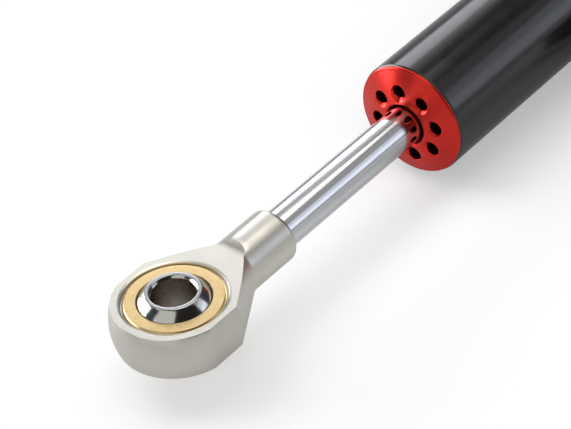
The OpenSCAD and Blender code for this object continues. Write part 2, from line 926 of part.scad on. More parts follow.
// Click spring: one unbroken round wire wound from ring to ring
module click_spring() {
  wire_r = click_wire_d / 2;
  coil_r = click_ball_d / 2 - wire_r - run_fit - push_fit;
  low = click_pocket_x() + wire_r + push_fit;
  length = click_spring_l - 2 * wire_r;
  sides = 6;
  rings = 10 * click_turns;
  function centre(i) = [low + length * i / rings, coil_r * cos(360 * click_turns * i / rings), coil_r * sin(360 * click_turns * i / rings)];
  function spoke(i, k) =
    let (turn = 360 * click_turns * i / rings, a = 360 * k / sides)
    [wire_r * sin(a), wire_r * cos(a) * cos(turn), wire_r * cos(a) * sin(turn)];
  points = [for (i = [0:rings]) for (k = [0:sides - 1]) centre(i) + spoke(i, k)];
  walls = [
    for (i = [0:rings - 1])
      for (k = [0:sides - 1])
        for (half = [0, 1])
          half == 0
            ? [i * sides + k, i * sides + (k + 1) % sides, (i + 1) * sides + k]
            : [i * sides + (k + 1) % sides, (i + 1) * sides + (k + 1) % sides, (i + 1) * sides + k]
  ];
  near_end = [for (k = [sides - 1:-1:0]) k];
  far_end = [for (k = [0:sides - 1]) rings * sides + k];
  color(SPRING_STEEL)
    at_click()
      polyhedron(points = points, faces = concat([near_end], walls, [far_end]), convexity = 10);
}

module click_ball() {
  color(HARD_CHROME)
    at_click()
      translate([click_x(), 0, 0])
        sphere(r = click_ball_d / 2, $fn = 48);
}

// Click knob: scalloped grip, a bearing on the rod, dimples in its front face
module adjuster_knob() {
  r = knob_d / 2;
  front_chamfer = 0.6;
  back_chamfer = 1;
  color(RED_ANODISED)
    difference() {
      turned([
        [knob_x, 0],
        [knob_x, r - front_chamfer],
        [knob_x + front_chamfer, r],
        [knob_x + knob_l - back_chamfer, r],
        [knob_x + knob_l, r - back_chamfer],
        [knob_x + knob_l, 0]
      ]);
      bar(knob_x - 1, knob_l + 2, rod_r + run_fit);
      bar(knob_x + knob_bearing_l, knob_l, insert_d / 2 + push_fit);
      for (i = [0:scallops - 1])
        rotate([(i + 0.5) * 360 / scallops, 0, 0])
          translate([0, r + scallop_d / 2 - scallop_depth, 0])
            bar(knob_x + scallop_start, knob_l, scallop_d / 2);
      for (i = [0:clicks - 1])
        rotate([i * 360 / clicks, 0, 0])
          at_click()
            translate([click_x() + click_travel, 0, 0])
              sphere(r = click_ball_d / 2 + run_fit, $fn = 48);
    }
}

// Threaded insert that closes the knob; its two blind holes take a pin spanner
module knob_insert() {
  color(BRASS)
    difference() {
      sleeve(insert_x, insert_l, insert_d / 2, needle_thread_d / 2 + run_fit);
      for (side = [-1, 1])
        translate([0, side * (insert_d + needle_thread_d) / 4, 0])
          bar(insert_x + insert_l - insert_hole_depth, insert_hole_depth + 1, insert_hole_d / 2);
    }
}

module knob_retaining_ring() {
  color(SPRING_STEEL)
    retaining_ring(knob_ring_x, rod_r - circlip_depth + push_fit, rod_r + circlip_rise, ring_gap);
}

// Needle: tapered tip, stem, guide land with an O-ring groove and a threaded tail
module metering_needle() {
  stem_r = needle_d / 2;
  land_r = rod_bore_d / 2 - run_fit;
  groove_w = needle_oring_w + 2 * side_fit;
  tip_x = seat_x - needle_tip_l / 2;
  tail_x = rod_end_x + needle_travel + tail_gap;
  tail_end_x = knob_x + knob_l - tail_recess;
  tail_chamfer = 0.4;
  color(SPRING_STEEL)
    difference() {
      turned([
        [tip_x, 0],
        [tip_x, needle_tip_d / 2],
        [tip_x + needle_tip_l, stem_r],
        [land_x - land_l / 2, stem_r],
        [land_x - land_l / 2, land_r],
        [land_x - groove_w / 2, land_r],
        [land_x - groove_w / 2, land_r - needle_oring_depth],
        [land_x + groove_w / 2, land_r - needle_oring_depth],
        [land_x + groove_w / 2, land_r],
        [land_x + land_l / 2, land_r],
        [land_x + land_l / 2, stem_r],
        [tail_x, stem_r],
        [tail_x, needle_thread_d / 2],
        [tail_end_x - tail_chamfer, needle_thread_d / 2],
        [tail_end_x, needle_thread_d / 2 - tail_chamfer],
        [tail_end_x, 0]
      ]);
      translate([key_x, 0, 0])
        rotate([90, 0, 0])
          cylinder(h = rod_d, r = key_d / 2 + push_fit, center = true);
    }
}

module needle_oring() {
  land_r = rod_bore_d / 2 - run_fit;
  color(RUBBER)
    squeezed_ring(land_x, land_r - needle_oring_depth + push_fit, land_r, needle_oring_w);
}

// Cross pin that stops the needle from turning in the rod
module needle_key_pin() {
  color(SPRING_STEEL)
    translate([key_x, 0, 0])
      rotate([90, 0, 0])
        cylinder(h = rod_d - 2 * key_pin_inset, r = key_d / 2, center = true);
}

cylinder_tube();
front_cap();
rear_cap();
front_wiper();
rear_wiper();
front_rod_seal();
rear_rod_seal();
front_guide_bush();
rear_guide_bush();
front_cap_oring();
rear_cap_oring();
tube_clamp();
pinch_screws();
clamp_bearing_race();
clamp_bearing_liner();
clamp_bearing_ball();
piston_ring();
piston_rod();
piston();
front_shims();
rear_shims();
support_washers();
piston_retaining_rings();
rod_end_housing();
rod_end_race();
rod_end_liner();
rod_end_ball();
adjuster_collar();
collar_grub_screw();
click_spring();
click_ball();
adjuster_knob();
knob_insert();
knob_retaining_ring();
metering_needle();
needle_oring();
needle_key_pin();
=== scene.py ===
"""Motorcycle steering damper: detailed pieces, finishes, studio light and camera around the frame."""

import math

import bmesh
import bpy
from mathutils import Matrix, Vector


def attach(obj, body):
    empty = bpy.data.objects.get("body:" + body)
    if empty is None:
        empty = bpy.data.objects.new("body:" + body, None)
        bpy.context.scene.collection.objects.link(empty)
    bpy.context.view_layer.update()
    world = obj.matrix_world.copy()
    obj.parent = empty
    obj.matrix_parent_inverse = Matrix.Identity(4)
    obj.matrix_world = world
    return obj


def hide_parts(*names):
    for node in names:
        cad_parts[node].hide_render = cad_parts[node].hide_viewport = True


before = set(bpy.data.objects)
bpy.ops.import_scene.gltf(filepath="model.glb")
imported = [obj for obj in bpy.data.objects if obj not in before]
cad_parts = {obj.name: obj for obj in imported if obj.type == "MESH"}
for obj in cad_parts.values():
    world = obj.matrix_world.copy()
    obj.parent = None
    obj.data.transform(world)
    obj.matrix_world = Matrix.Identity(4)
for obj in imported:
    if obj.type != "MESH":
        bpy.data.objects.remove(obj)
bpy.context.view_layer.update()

# Lengths of the damper are millimetres, turned to metres by MM. The origin is the centre
# of the rod-end ball, +X runs along the rod and +Z along the bore of the ball.
MM = 0.001
ORIGIN = (0, 0, 0)
X_AXIS = (1, 0, 0)
Z_AXIS = (0, 0, 1)
# How far a cutter stands out of the piece that it cuts
CLEAR = 1
# Play on the radius between two pieces that fit closely, and between two that run on each other
CLOSE_FIT = 0.02
RUNNING_FIT = 0.04
# How near a wall the middle of a face lies that belongs to it
TOUCH = 0.05
# Edges that turn by more than these degrees are rounded, and are left sharp in the shading
ROUNDED_ANGLE = 16
SHARP_ANGLE = 40

# Spherical bearings, the same in the rod end and in the clamp
BALL_R = 15.875 / 2
BALL_W = 12
BORE_R = 4
BORE_CHAMFER = 0.5
LINER_OUT_R = 8.1575
LINER_IN_R = 7.9575
LINER_HALF_W = 4.2
RACE_R = 9.5
RACE_SEAT_R = 8.1775
RACE_W = 8.6
RACE_CHAMFER = 0.4

# Seat of a race in its housing
SEAT_R = RACE_R + CLOSE_FIT
SEAT_RELIEF = 0.3
SEAT_RELIEF_DEPTH = 0.9
COUNTERSINK_W = 0.5
COUNTERSINK_DEPTH = 0.15

# Rod end
EYE_R = 12
NOSE_R = 12.4
EYE_T = 9
TAPER_X = 4.1
TAPER_END_X = 15.358
TAPER_ANGLE = 30
NECK_R = 5.5
NECK_END_X = 27.5
NECK_FILLET = 2.5
NECK_ROUND = 1
THREAD_BOTTOM_X = 14
THREAD_MOUTH = 0.3
RUNOUT_X = 15.158
RUNOUT_R = 2.7

# Cylinder tube
TUBE_R = 12
TUBE_BORE_R = 10
TUBE_CHAMFER = 0.25
TUBE_THREAD_R = 10.52
TUBE_THREAD_L = 9
FRONT_X = 69.3
MIDDLE_X = 130.1
REAR_X = 190.9

# Caps, with the seats of the O-ring, the bush, the rod seal and the wiper
CAP_R = 11.8
CAP_RIM = 0.2
CAP_ROUND = 0.4
CAP_FACE_X = 67.0
CAP_BULGE = 0.28
CAP_THREAD_R = 10.5
CAP_THREAD_END_X = 78.1
SPIGOT_R = 9.98
SPIGOT_END_X = 87.9
ORING_X = 82.25
ORING_END_X = 83.95
ORING_SEAT_R = 8.8
BUSH_X = 79.9
BUSH_SEAT_R = 5
LAND_R = 4.25
SEAL_X = 75.5
SEAL_END_X = 78.9
SEAL_SEAT_R = 6.4
WIPER_X = 71.5
WIPER_END_X = 74.5
WIPER_SEAT_R = 6.2
THROAT_R = 4.5
THROAT_CHAMFER = 0.2
THROAT_MOUTH = 0.13
DISH_IN_R = THROAT_R + THROAT_CHAMFER
DISH_OUT_R = CAP_R - CAP_ROUND
PIN_HOLES = 8
PIN_CIRCLE_R = 7.15
PIN_HOLE_R = 1.4
PIN_COUNTERSINK = 0.4
PIN_BOTTOM_X = 70.5
PIN_ANGLE = -10.5

# Rod, with the grooves of its retaining rings, its bores and the slot for the needle's key
ROD_R = 4
ROD_X = 14.5
ROD_END_X = 245.8
ROD_CHAMFER = 0.4
RING_GROOVES_X = (MIDDLE_X - 7.2, MIDDLE_X + 6.4, 243.8)
RING_GROOVE_W = 0.8
RING_GROOVE_DEPTH = 0.5
NEEDLE_BORE_R = 1.8
NEEDLE_BORE_X = 132.1
BLEED_BORE_R = 1.2
BLEED_BORE_X = 118.7
BYPASS_R = 1
BYPASS_OUT = 9.4
KEY_X = 240.5
KEY_PIN_D = 1.5
KEY_TRAVEL = 0.29167
KEY_PLAY = 0.4
KEY_SLOT_HALF_W = 0.77

# Tube clamp and its pinch screws
CLAMP_CENTRE = (MIDDLE_X, -27, 0)
CLAMP_HALF_W = 9
CLAMP_RING_R = 16.5
CLAMP_CHAMFER = 0.6
CLAMP_FOOT = 14.5
BOSS_R = 13
BOSS_ROOT_Y = 14
BOSS_HALF_H = 5
EAR_ROOT_Y = 13
EAR_END_Y = 25
EAR_CHAMFER = 2
EAR_HALF_H = 7.5
SLIT_W = 1.5
SCREW_OUT = 4.7
SCREW_Y = 19.5
SCREW_R = 2.5
SCREW_HOLE_REACH = 9
SCREW_PITCH = 0.8
SCREW_TIP_Z = -6.5
THREAD_TOP_Z = -0.9
THREAD_DEPTH = 0.42
HEAD_R = 4.25
HEAD_H = 5
HEAD_CHAMFER = 0.4
HEAD_FOOT_CHAMFER = 0.15
SOCKET_R = 2.3
SOCKET_DEPTH = 2.75
KNURLS = 48
KNURL_MARGIN = 0.05
KNURL_DEPTH = 0.13

# Adjuster: collar with its grub screw, knob and threaded insert
COLLAR_X = 229.2
COLLAR_END_X = 237.2
COLLAR_R = 8
COLLAR_CHAMFER = 0.5
CLICK_CIRCLE_R = 6
CLICK_R = 1.04
CLICK_POCKET_X = 232.16
GRUB_X = 231.4
GRUB_R = 1.5
GRUB_ROOT_R = 1.22
GRUB_CUP_R = 1
GRUB_END_R = 1.3
GRUB_PITCH = 0.5
GRUB_FOOT = 4.05
GRUB_TOP = 7.35
GRUB_SOCKET_R = 0.75
GRUB_SOCKET_DEPTH = 1.65
KNOB_X = 237.5
KNOB_END_X = 253.0
KNOB_R = 10
KNOB_CHAMFER = 0.6
KNOB_END_CHAMFER = 1
KNOB_BORE_END_X = 243.5
SCALLOPS = 12
SCALLOP_R = 2.2
SCALLOP_CIRCLE_R = 11.3
SCALLOP_X = 240.5
DIMPLES = 24
DIMPLE_X = 236.76
INSERT_X = 248
INSERT_R = 6.2
INSERT_BORE_R = 2.04
INSERT_CHAMFER = 0.2
INSERT_MOUTH = 0.3
SPANNER_R = 0.75
SPANNER_DEPTH = 1.5
SPANNER_OUT = 4.1


# Modelling


def pick(piece):
    """Makes a piece the only selected one."""
    bpy.ops.object.select_all(action="DESELECT")
    piece.select_set(True)
    bpy.context.view_layer.objects.active = piece


def trace(name, points):
    """Draws a line through points by extruding one vertex from point to point; ends in edit mode."""
    bpy.ops.object.select_all(action="DESELECT")
    bpy.ops.mesh.primitive_plane_add(size=MM, location=ORIGIN)
    piece = bpy.context.object
    piece.name = piece.data.name = name
    bpy.ops.object.mode_set(mode="EDIT")
    bpy.ops.mesh.select_all(action="SELECT")
    bpy.ops.mesh.merge(type="CENTER")
    bpy.ops.transform.translate(value=Vector(points[0]) * MM)
    for near, far in zip(points, points[1:]):
        step = (Vector(far) - Vector(near)) * MM
        bpy.ops.mesh.extrude_vertices_move(TRANSFORM_OT_translate={"value": step})
    return piece


def join_ends(piece):
    """Closes a traced line with an edge from its last vertex to its first."""
    bpy.ops.mesh.select_all(action="DESELECT")
    mesh = bmesh.from_edit_mesh(piece.data)
    mesh.verts.ensure_lookup_table()
    mesh.verts[0].select = mesh.verts[-1].select = True
    bmesh.update_edit_mesh(piece.data)
    bpy.ops.mesh.edge_face_add()


def close_mesh():
    """Merges doubles, points the faces outwards and leaves edit mode."""
    bpy.ops.mesh.select_all(action="SELECT")
    bpy.ops.mesh.remove_doubles(threshold=0.001 * MM)
    bpy.ops.mesh.normals_make_consistent(inside=False)
    bpy.ops.object.mode_set(mode="OBJECT")


def turned(name, outline, axis=X_AXIS, centre=ORIGIN, steps=160):
    """Spins an outline of (place along the axis, radius) points into a solid, as on a lathe."""
    cx, cy, cz = centre
    if axis == X_AXIS:
        points = [(cx + along, cy + radius, cz) for along, radius in outline]
    else:
        points = [(cx + radius, cy, cz + along) for along, radius in outline]
    piece = trace(name, points)
    if outline[0][1] > 0:
        join_ends(piece)
    bpy.ops.mesh.select_all(action="SELECT")
    bpy.ops.mesh.spin(steps=steps, angle=2 * math.pi, center=Vector(centre) * MM, axis=axis)
    close_mesh()
    return piece


def drill(name, start, end, radius, axis=X_AXIS, centre=ORIGIN, steps=40):
    """Plain round cutter from start to end along an axis through centre."""
    outline = [(start, 0), (start, radius), (end, radius), (end, 0)]
    return turned(name, outline, axis, centre, steps)


def prism(name, outline, depth):
    """Fills a traced outline and extrudes it along depth."""
    piece = trace(name, outline)
    bpy.ops.mesh.select_all(action="SELECT")
    bpy.ops.mesh.edge_face_add()
    bpy.ops.mesh.extrude_region_move(TRANSFORM_OT_translate={"value": Vector(depth) * MM})
    close_mesh()
    return piece


def arc(centre, radius, start, end, steps):
    """Points of an arc in an outline's plane, angles in degrees from the first axis to the second."""
    points = []
    for i in range(steps + 1):
        angle = math.radians(start + (end - start) * i / steps)
        points.append((centre[0] + radius * math.cos(angle), centre[1] + radius * math.sin(angle)))
    return points


def hexagon(radius):
    """Corners of a hexagon socket around its centre."""
    return arc((0, 0), radius, 0, 300, 5)


def thread_ridges(start, count, pitch, root_r, crest_r):
    """Outline of a thread, drawn as closed ridges one pitch apart."""
    ridges = []
    for i in range(count):
        low = start + i * pitch
        ridges += [(low, root_r), (low + 0.3 * pitch, crest_r), (low + 0.5 * pitch, crest_r)]
    return ridges


def change(piece, kind, **settings):
    """Adds a modifier with its settings and applies it."""
    pick(piece)
    bpy.ops.object.modifier_add(type=kind)
    modifier = piece.modifiers[-1]
    for key, value in settings.items():
        setattr(modifier, key, value)
    bpy.ops.object.modifier_apply(modifier=modifier.name)


def combine(piece, other, operation="DIFFERENCE"):
    """Cuts another solid out of a piece, or joins the two, and removes the other."""
    change(piece, "BOOLEAN", operation=operation, solver="EXACT", object=other)
    bpy.data.objects.remove(other, do_unlink=True)


def ring_of_copies(piece, count):
    """Joins a piece with copies of itself, spread evenly round the X axis."""
    pick(piece)
    bpy.ops.object.mode_set(mode="EDIT")
    for _ in range(count - 1):
        bpy.ops.mesh.duplicate()
        bpy.ops.transform.rotate(value=-2 * math.pi / count, orient_axis="X", center_override=ORIGIN)
    bpy.ops.object.mode_set(mode="OBJECT")


def duplicate(piece, name, shift=ORIGIN):
    """Copies a piece with its own mesh, moved in its mesh."""
    pick(piece)
    bpy.ops.object.duplicate(linked=False)
    twin = bpy.context.object
    twin.name = twin.data.name = name
    bpy.ops.object.mode_set(mode="EDIT")
    bpy.ops.mesh.select_all(action="SELECT")
    bpy.ops.transform.translate(value=Vector(shift) * MM)
    bpy.ops.object.mode_set(mode="OBJECT")
    return twin


def mirrored(piece, name):
    """Copies a piece to the cylinder's other end, facing the other way."""
    twin = duplicate(piece, name)
    bpy.ops.object.mode_set(mode="EDIT")
    bpy.ops.transform.resize(value=(-1, 1, 1), center_override=(MIDDLE_X * MM, 0, 0))
    close_mesh()
    return twin


def cut_flats(piece, height):
    """Cuts a piece off flat at a height above and below the X axis."""
    pick(piece)
    bpy.ops.object.mode_set(mode="EDIT")
    for side in (1, -1):
        bpy.ops.mesh.select_all(action="SELECT")
        bpy.ops.mesh.bisect(
            plane_co=(0, 0, side * height * MM), plane_no=(0, 0, side),
            use_fill=True, clear_outer=True, threshold=0.001 * MM,
        )
    bpy.ops.object.mode_set(mode="OBJECT")


def lay_down(piece):
    """Turns a piece that stands along +Z so that it lies along -Y."""
    pick(piece)
    bpy.ops.object.mode_set(mode="EDIT")
    bpy.ops.mesh.select_all(action="SELECT")
    height = max(v.co.z for v in bmesh.from_edit_mesh(piece.data).verts)
    # With no window this turns the other way, so the outcome is looked at
    bpy.ops.transform.rotate(value=math.pi / 2, orient_axis="X", center_override=ORIGIN)
    if max(v.co.y for v in bmesh.from_edit_mesh(piece.data).verts) > height / 2:
        bpy.ops.transform.rotate(value=math.pi, orient_axis="X", center_override=ORIGIN)
    bpy.ops.object.mode_set(mode="OBJECT")


def fit_out(piece, node, body, material, edge=0.0):
    """Rounds the edges, sets shading and finish, and puts the piece in its node's place."""
    if edge:
        change(
            piece, "BEVEL", width=edge * MM, segments=2, limit_method="ANGLE",
            angle_limit=math.radians(ROUNDED_ANGLE), use_clamp_overlap=True,
        )
    pick(piece)
    bpy.ops.object.shade_smooth_by_angle(angle=math.radians(SHARP_ANGLE))
    change(piece, "WEIGHTED_NORMAL", weight=100, keep_sharp=True)
    piece.data.materials.clear()
    piece.data.materials.append(material)
    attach(piece, body)
    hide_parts(node)


# Bearings


def bearing(place, centre, housing_body, liner_body, ball_body):
    """Race, liner and ball of one spherical bearing, turned round the Z axis through its centre."""
    half = RACE_W / 2
    rim_r = RACE_R - RACE_CHAMFER
    seat_end = math.degrees(math.asin(half / RACE_SEAT_R))
    race = turned(
        place + "_race_turned",
        [(-half, rim_r), (RACE_CHAMFER - half, RACE_R), (half - RACE_CHAMFER, RACE_R), (half, rim_r)]
        + arc((0, 0), RACE_SEAT_R, 90 - seat_end, 90 + seat_end, 28),
        Z_AXIS, centre,
    )
    fit_out(race, place + "_race", housing_body, race_brass[place], edge=0.09)

    outer = math.degrees(math.asin(LINER_HALF_W / LINER_OUT_R))
    inner = math.degrees(math.asin(LINER_HALF_W / LINER_IN_R))
    liner = turned(
        place + "_liner_moulded",
        arc((0, 0), LINER_OUT_R, 90 - outer, 90 + outer, 28)
        + arc((0, 0), LINER_IN_R, 90 + inner, 90 - inner, 28),
        Z_AXIS, centre,
    )
    fit_out(liner, place + "_liner", liner_body, woven_liner)

    half = BALL_W / 2
    mouth_r = BORE_R + BORE_CHAMFER
    ball_end = math.degrees(math.asin(half / BALL_R))
    ball = turned(
        place + "_ball_ground",
        [(-half, mouth_r), (BORE_CHAMFER - half, BORE_R), (half - BORE_CHAMFER, BORE_R), (half, mouth_r)]
        + arc((0, 0), BALL_R, 90 - ball_end, 90 + ball_end, 44),
        Z_AXIS, centre, steps=192,
    )
    fit_out(ball, place + "_ball", ball_body, lapped_steel, edge=0.07)
    ball.data.materials.append(faced_steel[place])
    # The third slot, for the bore's faces, is darkened as painted shade so the hole reads deep
    ball.data.materials.append(bore_steel_painted_shade)
    for face in ball.data.polygons:
        middle = face.center / MM - Vector(centre)
        if abs(abs(middle.z) - half) < 0.01:
            face.material_index = 1
        elif middle.xy.length < BORE_R + TOUCH:
            face.material_index = 2


def race_seat(half, centre):
    """Cutter for a race's seat in a plate: a bore with a groove and a countersink at each face."""
    groove_r = SEAT_R + SEAT_RELIEF
    mouth_r = groove_r + 2 * COUNTERSINK_W
    step = half - SEAT_RELIEF_DEPTH
    cone = half - COUNTERSINK_DEPTH
    over = half + COUNTERSINK_DEPTH
    return turned(
        "race_seat_cutter",
        [(-over, 0), (-over, mouth_r), (-cone, groove_r), (-step, groove_r), (-step, SEAT_R),
         (step, SEAT_R), (step, groove_r), (cone, groove_r), (over, mouth_r), (over, 0)],
        Z_AXIS, centre,
    )


# Rod end


def make_rod_end():
    """Eye turned from bar, then its two flats are milled and the seat for the race is bored."""
    shoulder_x = -math.sqrt(NOSE_R ** 2 - EYE_R ** 2)
    nose_angle = math.degrees(math.atan2(EYE_R, shoulder_x))
    lean = NECK_FILLET * math.tan(math.radians(TAPER_ANGLE / 2))
    round_x = NECK_END_X - NECK_ROUND
    thread_r = ROD_R + CLOSE_FIT
    # Two plain rings on the neck keep its shading true beside the fillet and the rounded end
    eye = turned(
        "rod_end_eye_machined",
        arc((0, 0), NOSE_R, 180, nose_angle, 40)
        + [(TAPER_X, EYE_R)]
        + arc((TAPER_END_X + lean, NECK_R + NECK_FILLET), NECK_FILLET, 270 - TAPER_ANGLE, 270, 8)
        + [(18.2, NECK_R), (round_x - 0.4, NECK_R)]
        + arc((round_x, NECK_R - NECK_ROUND), NECK_ROUND, 90, 0, 8)
        + [(NECK_END_X, thread_r + THREAD_MOUTH), (NECK_END_X - THREAD_MOUTH, thread_r),
           (THREAD_BOTTOM_X, thread_r), (THREAD_BOTTOM_X, 0)],
        steps=192,
    )
    past_eye = NOSE_R + CLEAR
    for side in (1, -1):
        run_out = arc((RUNOUT_X, side * (EYE_T / 2 + RUNOUT_R)), RUNOUT_R, -90 * side, 0, 16)
        outline = (
            [(-past_eye, side * EYE_T / 2)] + run_out
            + [(RUNOUT_X + RUNOUT_R, side * past_eye), (-past_eye, side * past_eye)]
        )
        slab = prism("flat_cutter", [(x, -past_eye, z) for x, z in outline], (0, 2 * past_eye, 0))
        combine(eye, slab)
    combine(eye, race_seat(EYE_T / 2, ORIGIN))
    fit_out(eye, "rod_end_housing", "rod", blasted_aluminium, edge=0.14)


# Cylinder and its caps


def make_tube():
    """Cylinder tube with a wider, threaded stretch at each end."""
    rim_r = TUBE_R - TUBE_CHAMFER
    front_thread_x, rear_thread_x = FRONT_X + TUBE_THREAD_L, REAR_X - TUBE_THREAD_L
    tube = turned(
        "cylinder_tube_turned",
        [(FRONT_X, TUBE_THREAD_R), (FRONT_X, rim_r), (FRONT_X + TUBE_CHAMFER, TUBE_R),
         (REAR_X - TUBE_CHAMFER, TUBE_R), (REAR_X, rim_r), (REAR_X, TUBE_THREAD_R),
         (rear_thread_x, TUBE_THREAD_R), (rear_thread_x, TUBE_BORE_R),
         (front_thread_x, TUBE_BORE_R), (front_thread_x, TUBE_THREAD_R)],
        steps=192,
    )
    fit_out(tube, "cylinder_tube", "cylinder", turned_black, edge=0.06)


def cap_face_x(radius):
    """Where the face of the cap, a dish with a slight bulge, stands at a radius."""
    share = (radius - DISH_IN_R) / (DISH_OUT_R - DISH_IN_R)
    rise = FRONT_X - CAP_RIM - CAP_ROUND - CAP_FACE_X
    return CAP_FACE_X + share * rise - 4 * CAP_BULGE * share * (1 - share)


def make_caps():
    """Front cap with its dished face, rounded rim, spanner holes and seats; the rear cap mirrors it."""
    radii = [DISH_IN_R + (DISH_OUT_R - DISH_IN_R) * i / 16 for i in range(16)]
    cap = turned(
        "front_cap_turned",
        [(cap_face_x(radius), radius) for radius in radii]
        + arc((FRONT_X - CAP_RIM, DISH_OUT_R), CAP_ROUND, 180, 90, 6)
        + [(FRONT_X, CAP_R), (FRONT_X, CAP_THREAD_R), (CAP_THREAD_END_X, CAP_THREAD_R),
           (CAP_THREAD_END_X, SPIGOT_R), (ORING_X, SPIGOT_R), (ORING_X, ORING_SEAT_R),
           (ORING_END_X, ORING_SEAT_R), (ORING_END_X, SPIGOT_R), (SPIGOT_END_X, SPIGOT_R),
           (SPIGOT_END_X, BUSH_SEAT_R), (BUSH_X, BUSH_SEAT_R), (BUSH_X, LAND_R),
           (SEAL_END_X, LAND_R), (SEAL_END_X, SEAL_SEAT_R), (SEAL_X, SEAL_SEAT_R), (SEAL_X, LAND_R),
           (WIPER_END_X, LAND_R), (WIPER_END_X, WIPER_SEAT_R), (WIPER_X, WIPER_SEAT_R),
           (WIPER_X, THROAT_R), (CAP_FACE_X + THROAT_MOUTH, THROAT_R)],
        steps=192,
    )
    mouth_x = cap_face_x(PIN_CIRCLE_R)
    wall_x = mouth_x + PIN_COUNTERSINK
    angle = math.radians(PIN_ANGLE)
    drills = turned(
        "pin_hole_cutters",
        [(mouth_x - CLEAR, 0), (mouth_x - CLEAR, PIN_HOLE_R + PIN_COUNTERSINK + CLEAR),
         (wall_x, PIN_HOLE_R), (PIN_BOTTOM_X, PIN_HOLE_R), (PIN_BOTTOM_X, 0)],
        centre=(0, PIN_CIRCLE_R * math.cos(angle), PIN_CIRCLE_R * math.sin(angle)), steps=48,
    )
    ring_of_copies(drills, PIN_HOLES)
    combine(cap, drills)
    rear = mirrored(cap, "rear_cap_turned")
    for piece, node in ((cap, "front_cap"), (rear, "rear_cap")):
        fit_out(piece, node, "cylinder", red_anodised, edge=0.07)
        paint_shade_in_pin_holes(piece, wall_x)


def paint_shade_in_pin_holes(cap, wall_x):
    """Gives the drilled walls and bottoms of the pin holes a rougher finish, darkened as painted shade."""
    cap.data.materials.append(hole_red_painted_shade)
    spread = 360 / PIN_HOLES
    wall_depth = MIDDLE_X - wall_x
    bottom_depth = MIDDLE_X - PIN_BOTTOM_X
    for face in cap.data.polygons:
        middle = face.center / MM
        turn = math.degrees(math.atan2(middle.z, middle.y)) - PIN_ANGLE
        aside = math.radians((turn + spread / 2) % spread - spread / 2)
        reach = math.hypot(middle.y, middle.z)
        off_axis = math.hypot(reach * math.cos(aside) - PIN_CIRCLE_R, reach * math.sin(aside))
        depth = abs(middle.x - MIDDLE_X)
        if off_axis < PIN_HOLE_R + TOUCH and bottom_depth - TOUCH < depth < wall_depth:
            face.material_index = 1


def make_wipers():
    """Rod wipers in the throats of the caps, each with one lip that runs on the rod."""
    near, far = WIPER_X + 0.1, WIPER_END_X - 0.1
    outer = WIPER_SEAT_R - CLOSE_FIT
    lip_r = ROD_R + RUNNING_FIT
    wiper = turned(
        "front_wiper_moulded",
        [(near, outer), (far, outer), (far, lip_r + 0.5), (near + 1.12, lip_r + 0.4),
         (near + 0.15, lip_r), (near, lip_r + 0.1)],
        steps=96,
    )
    rear = mirrored(wiper, "rear_wiper_moulded")
    for piece, node in ((wiper, "front_wiper"), (rear, "rear_wiper")):
        fit_out(piece, node, "cylinder", nitrile_rubber, edge=0.05)


# Rod


def make_rod():
    """Hollow rod with ring grooves, bypass holes and the slot for the needle's key."""
    end_r = ROD_R - ROD_CHAMFER
    groove_r = ROD_R - RING_GROOVE_DEPTH
    # The rings at both ends of the bare stretch keep its shading true beside chamfer and holes
    outline = [
        (ROD_X, 0), (ROD_X, end_r), (ROD_X + ROD_CHAMFER, ROD_R), (ROD_X + 0.8, ROD_R), (118, ROD_R),
    ]
    for x in RING_GROOVES_X:
        end = x + RING_GROOVE_W
        outline += [(x, ROD_R), (x, groove_r), (end, groove_r), (end, ROD_R)]
    outline += [
        (ROD_END_X - ROD_CHAMFER, ROD_R), (ROD_END_X, end_r), (ROD_END_X, NEEDLE_BORE_R),
        (NEEDLE_BORE_X, NEEDLE_BORE_R), (NEEDLE_BORE_X, BLEED_BORE_R), (BLEED_BORE_X, BLEED_BORE_R),
        (BLEED_BORE_X, 0),
    ]
    rod = turned("piston_rod_ground", outline, steps=144)
    reach = ROD_R + CLEAR
    for side in (-1, 1):
        centre = (MIDDLE_X + side * BYPASS_OUT, 0, 0)
        combine(rod, drill("bypass_cutter", -reach, reach, BYPASS_R, Z_AXIS, centre))
    half = (2 * KEY_TRAVEL + KEY_PLAY + KEY_PIN_D) / 2
    near, far, wide = KEY_X - half, KEY_X + half, KEY_SLOT_HALF_W
    corners = [(near, -reach, -wide), (far, -reach, -wide), (far, -reach, wide), (near, -reach, wide)]
    combine(rod, prism("key_slot_cutter", corners, (0, 2 * reach, 0)))
    fit_out(rod, "piston_rod", "rod", hard_chrome, edge=0.05)


# Tube clamp


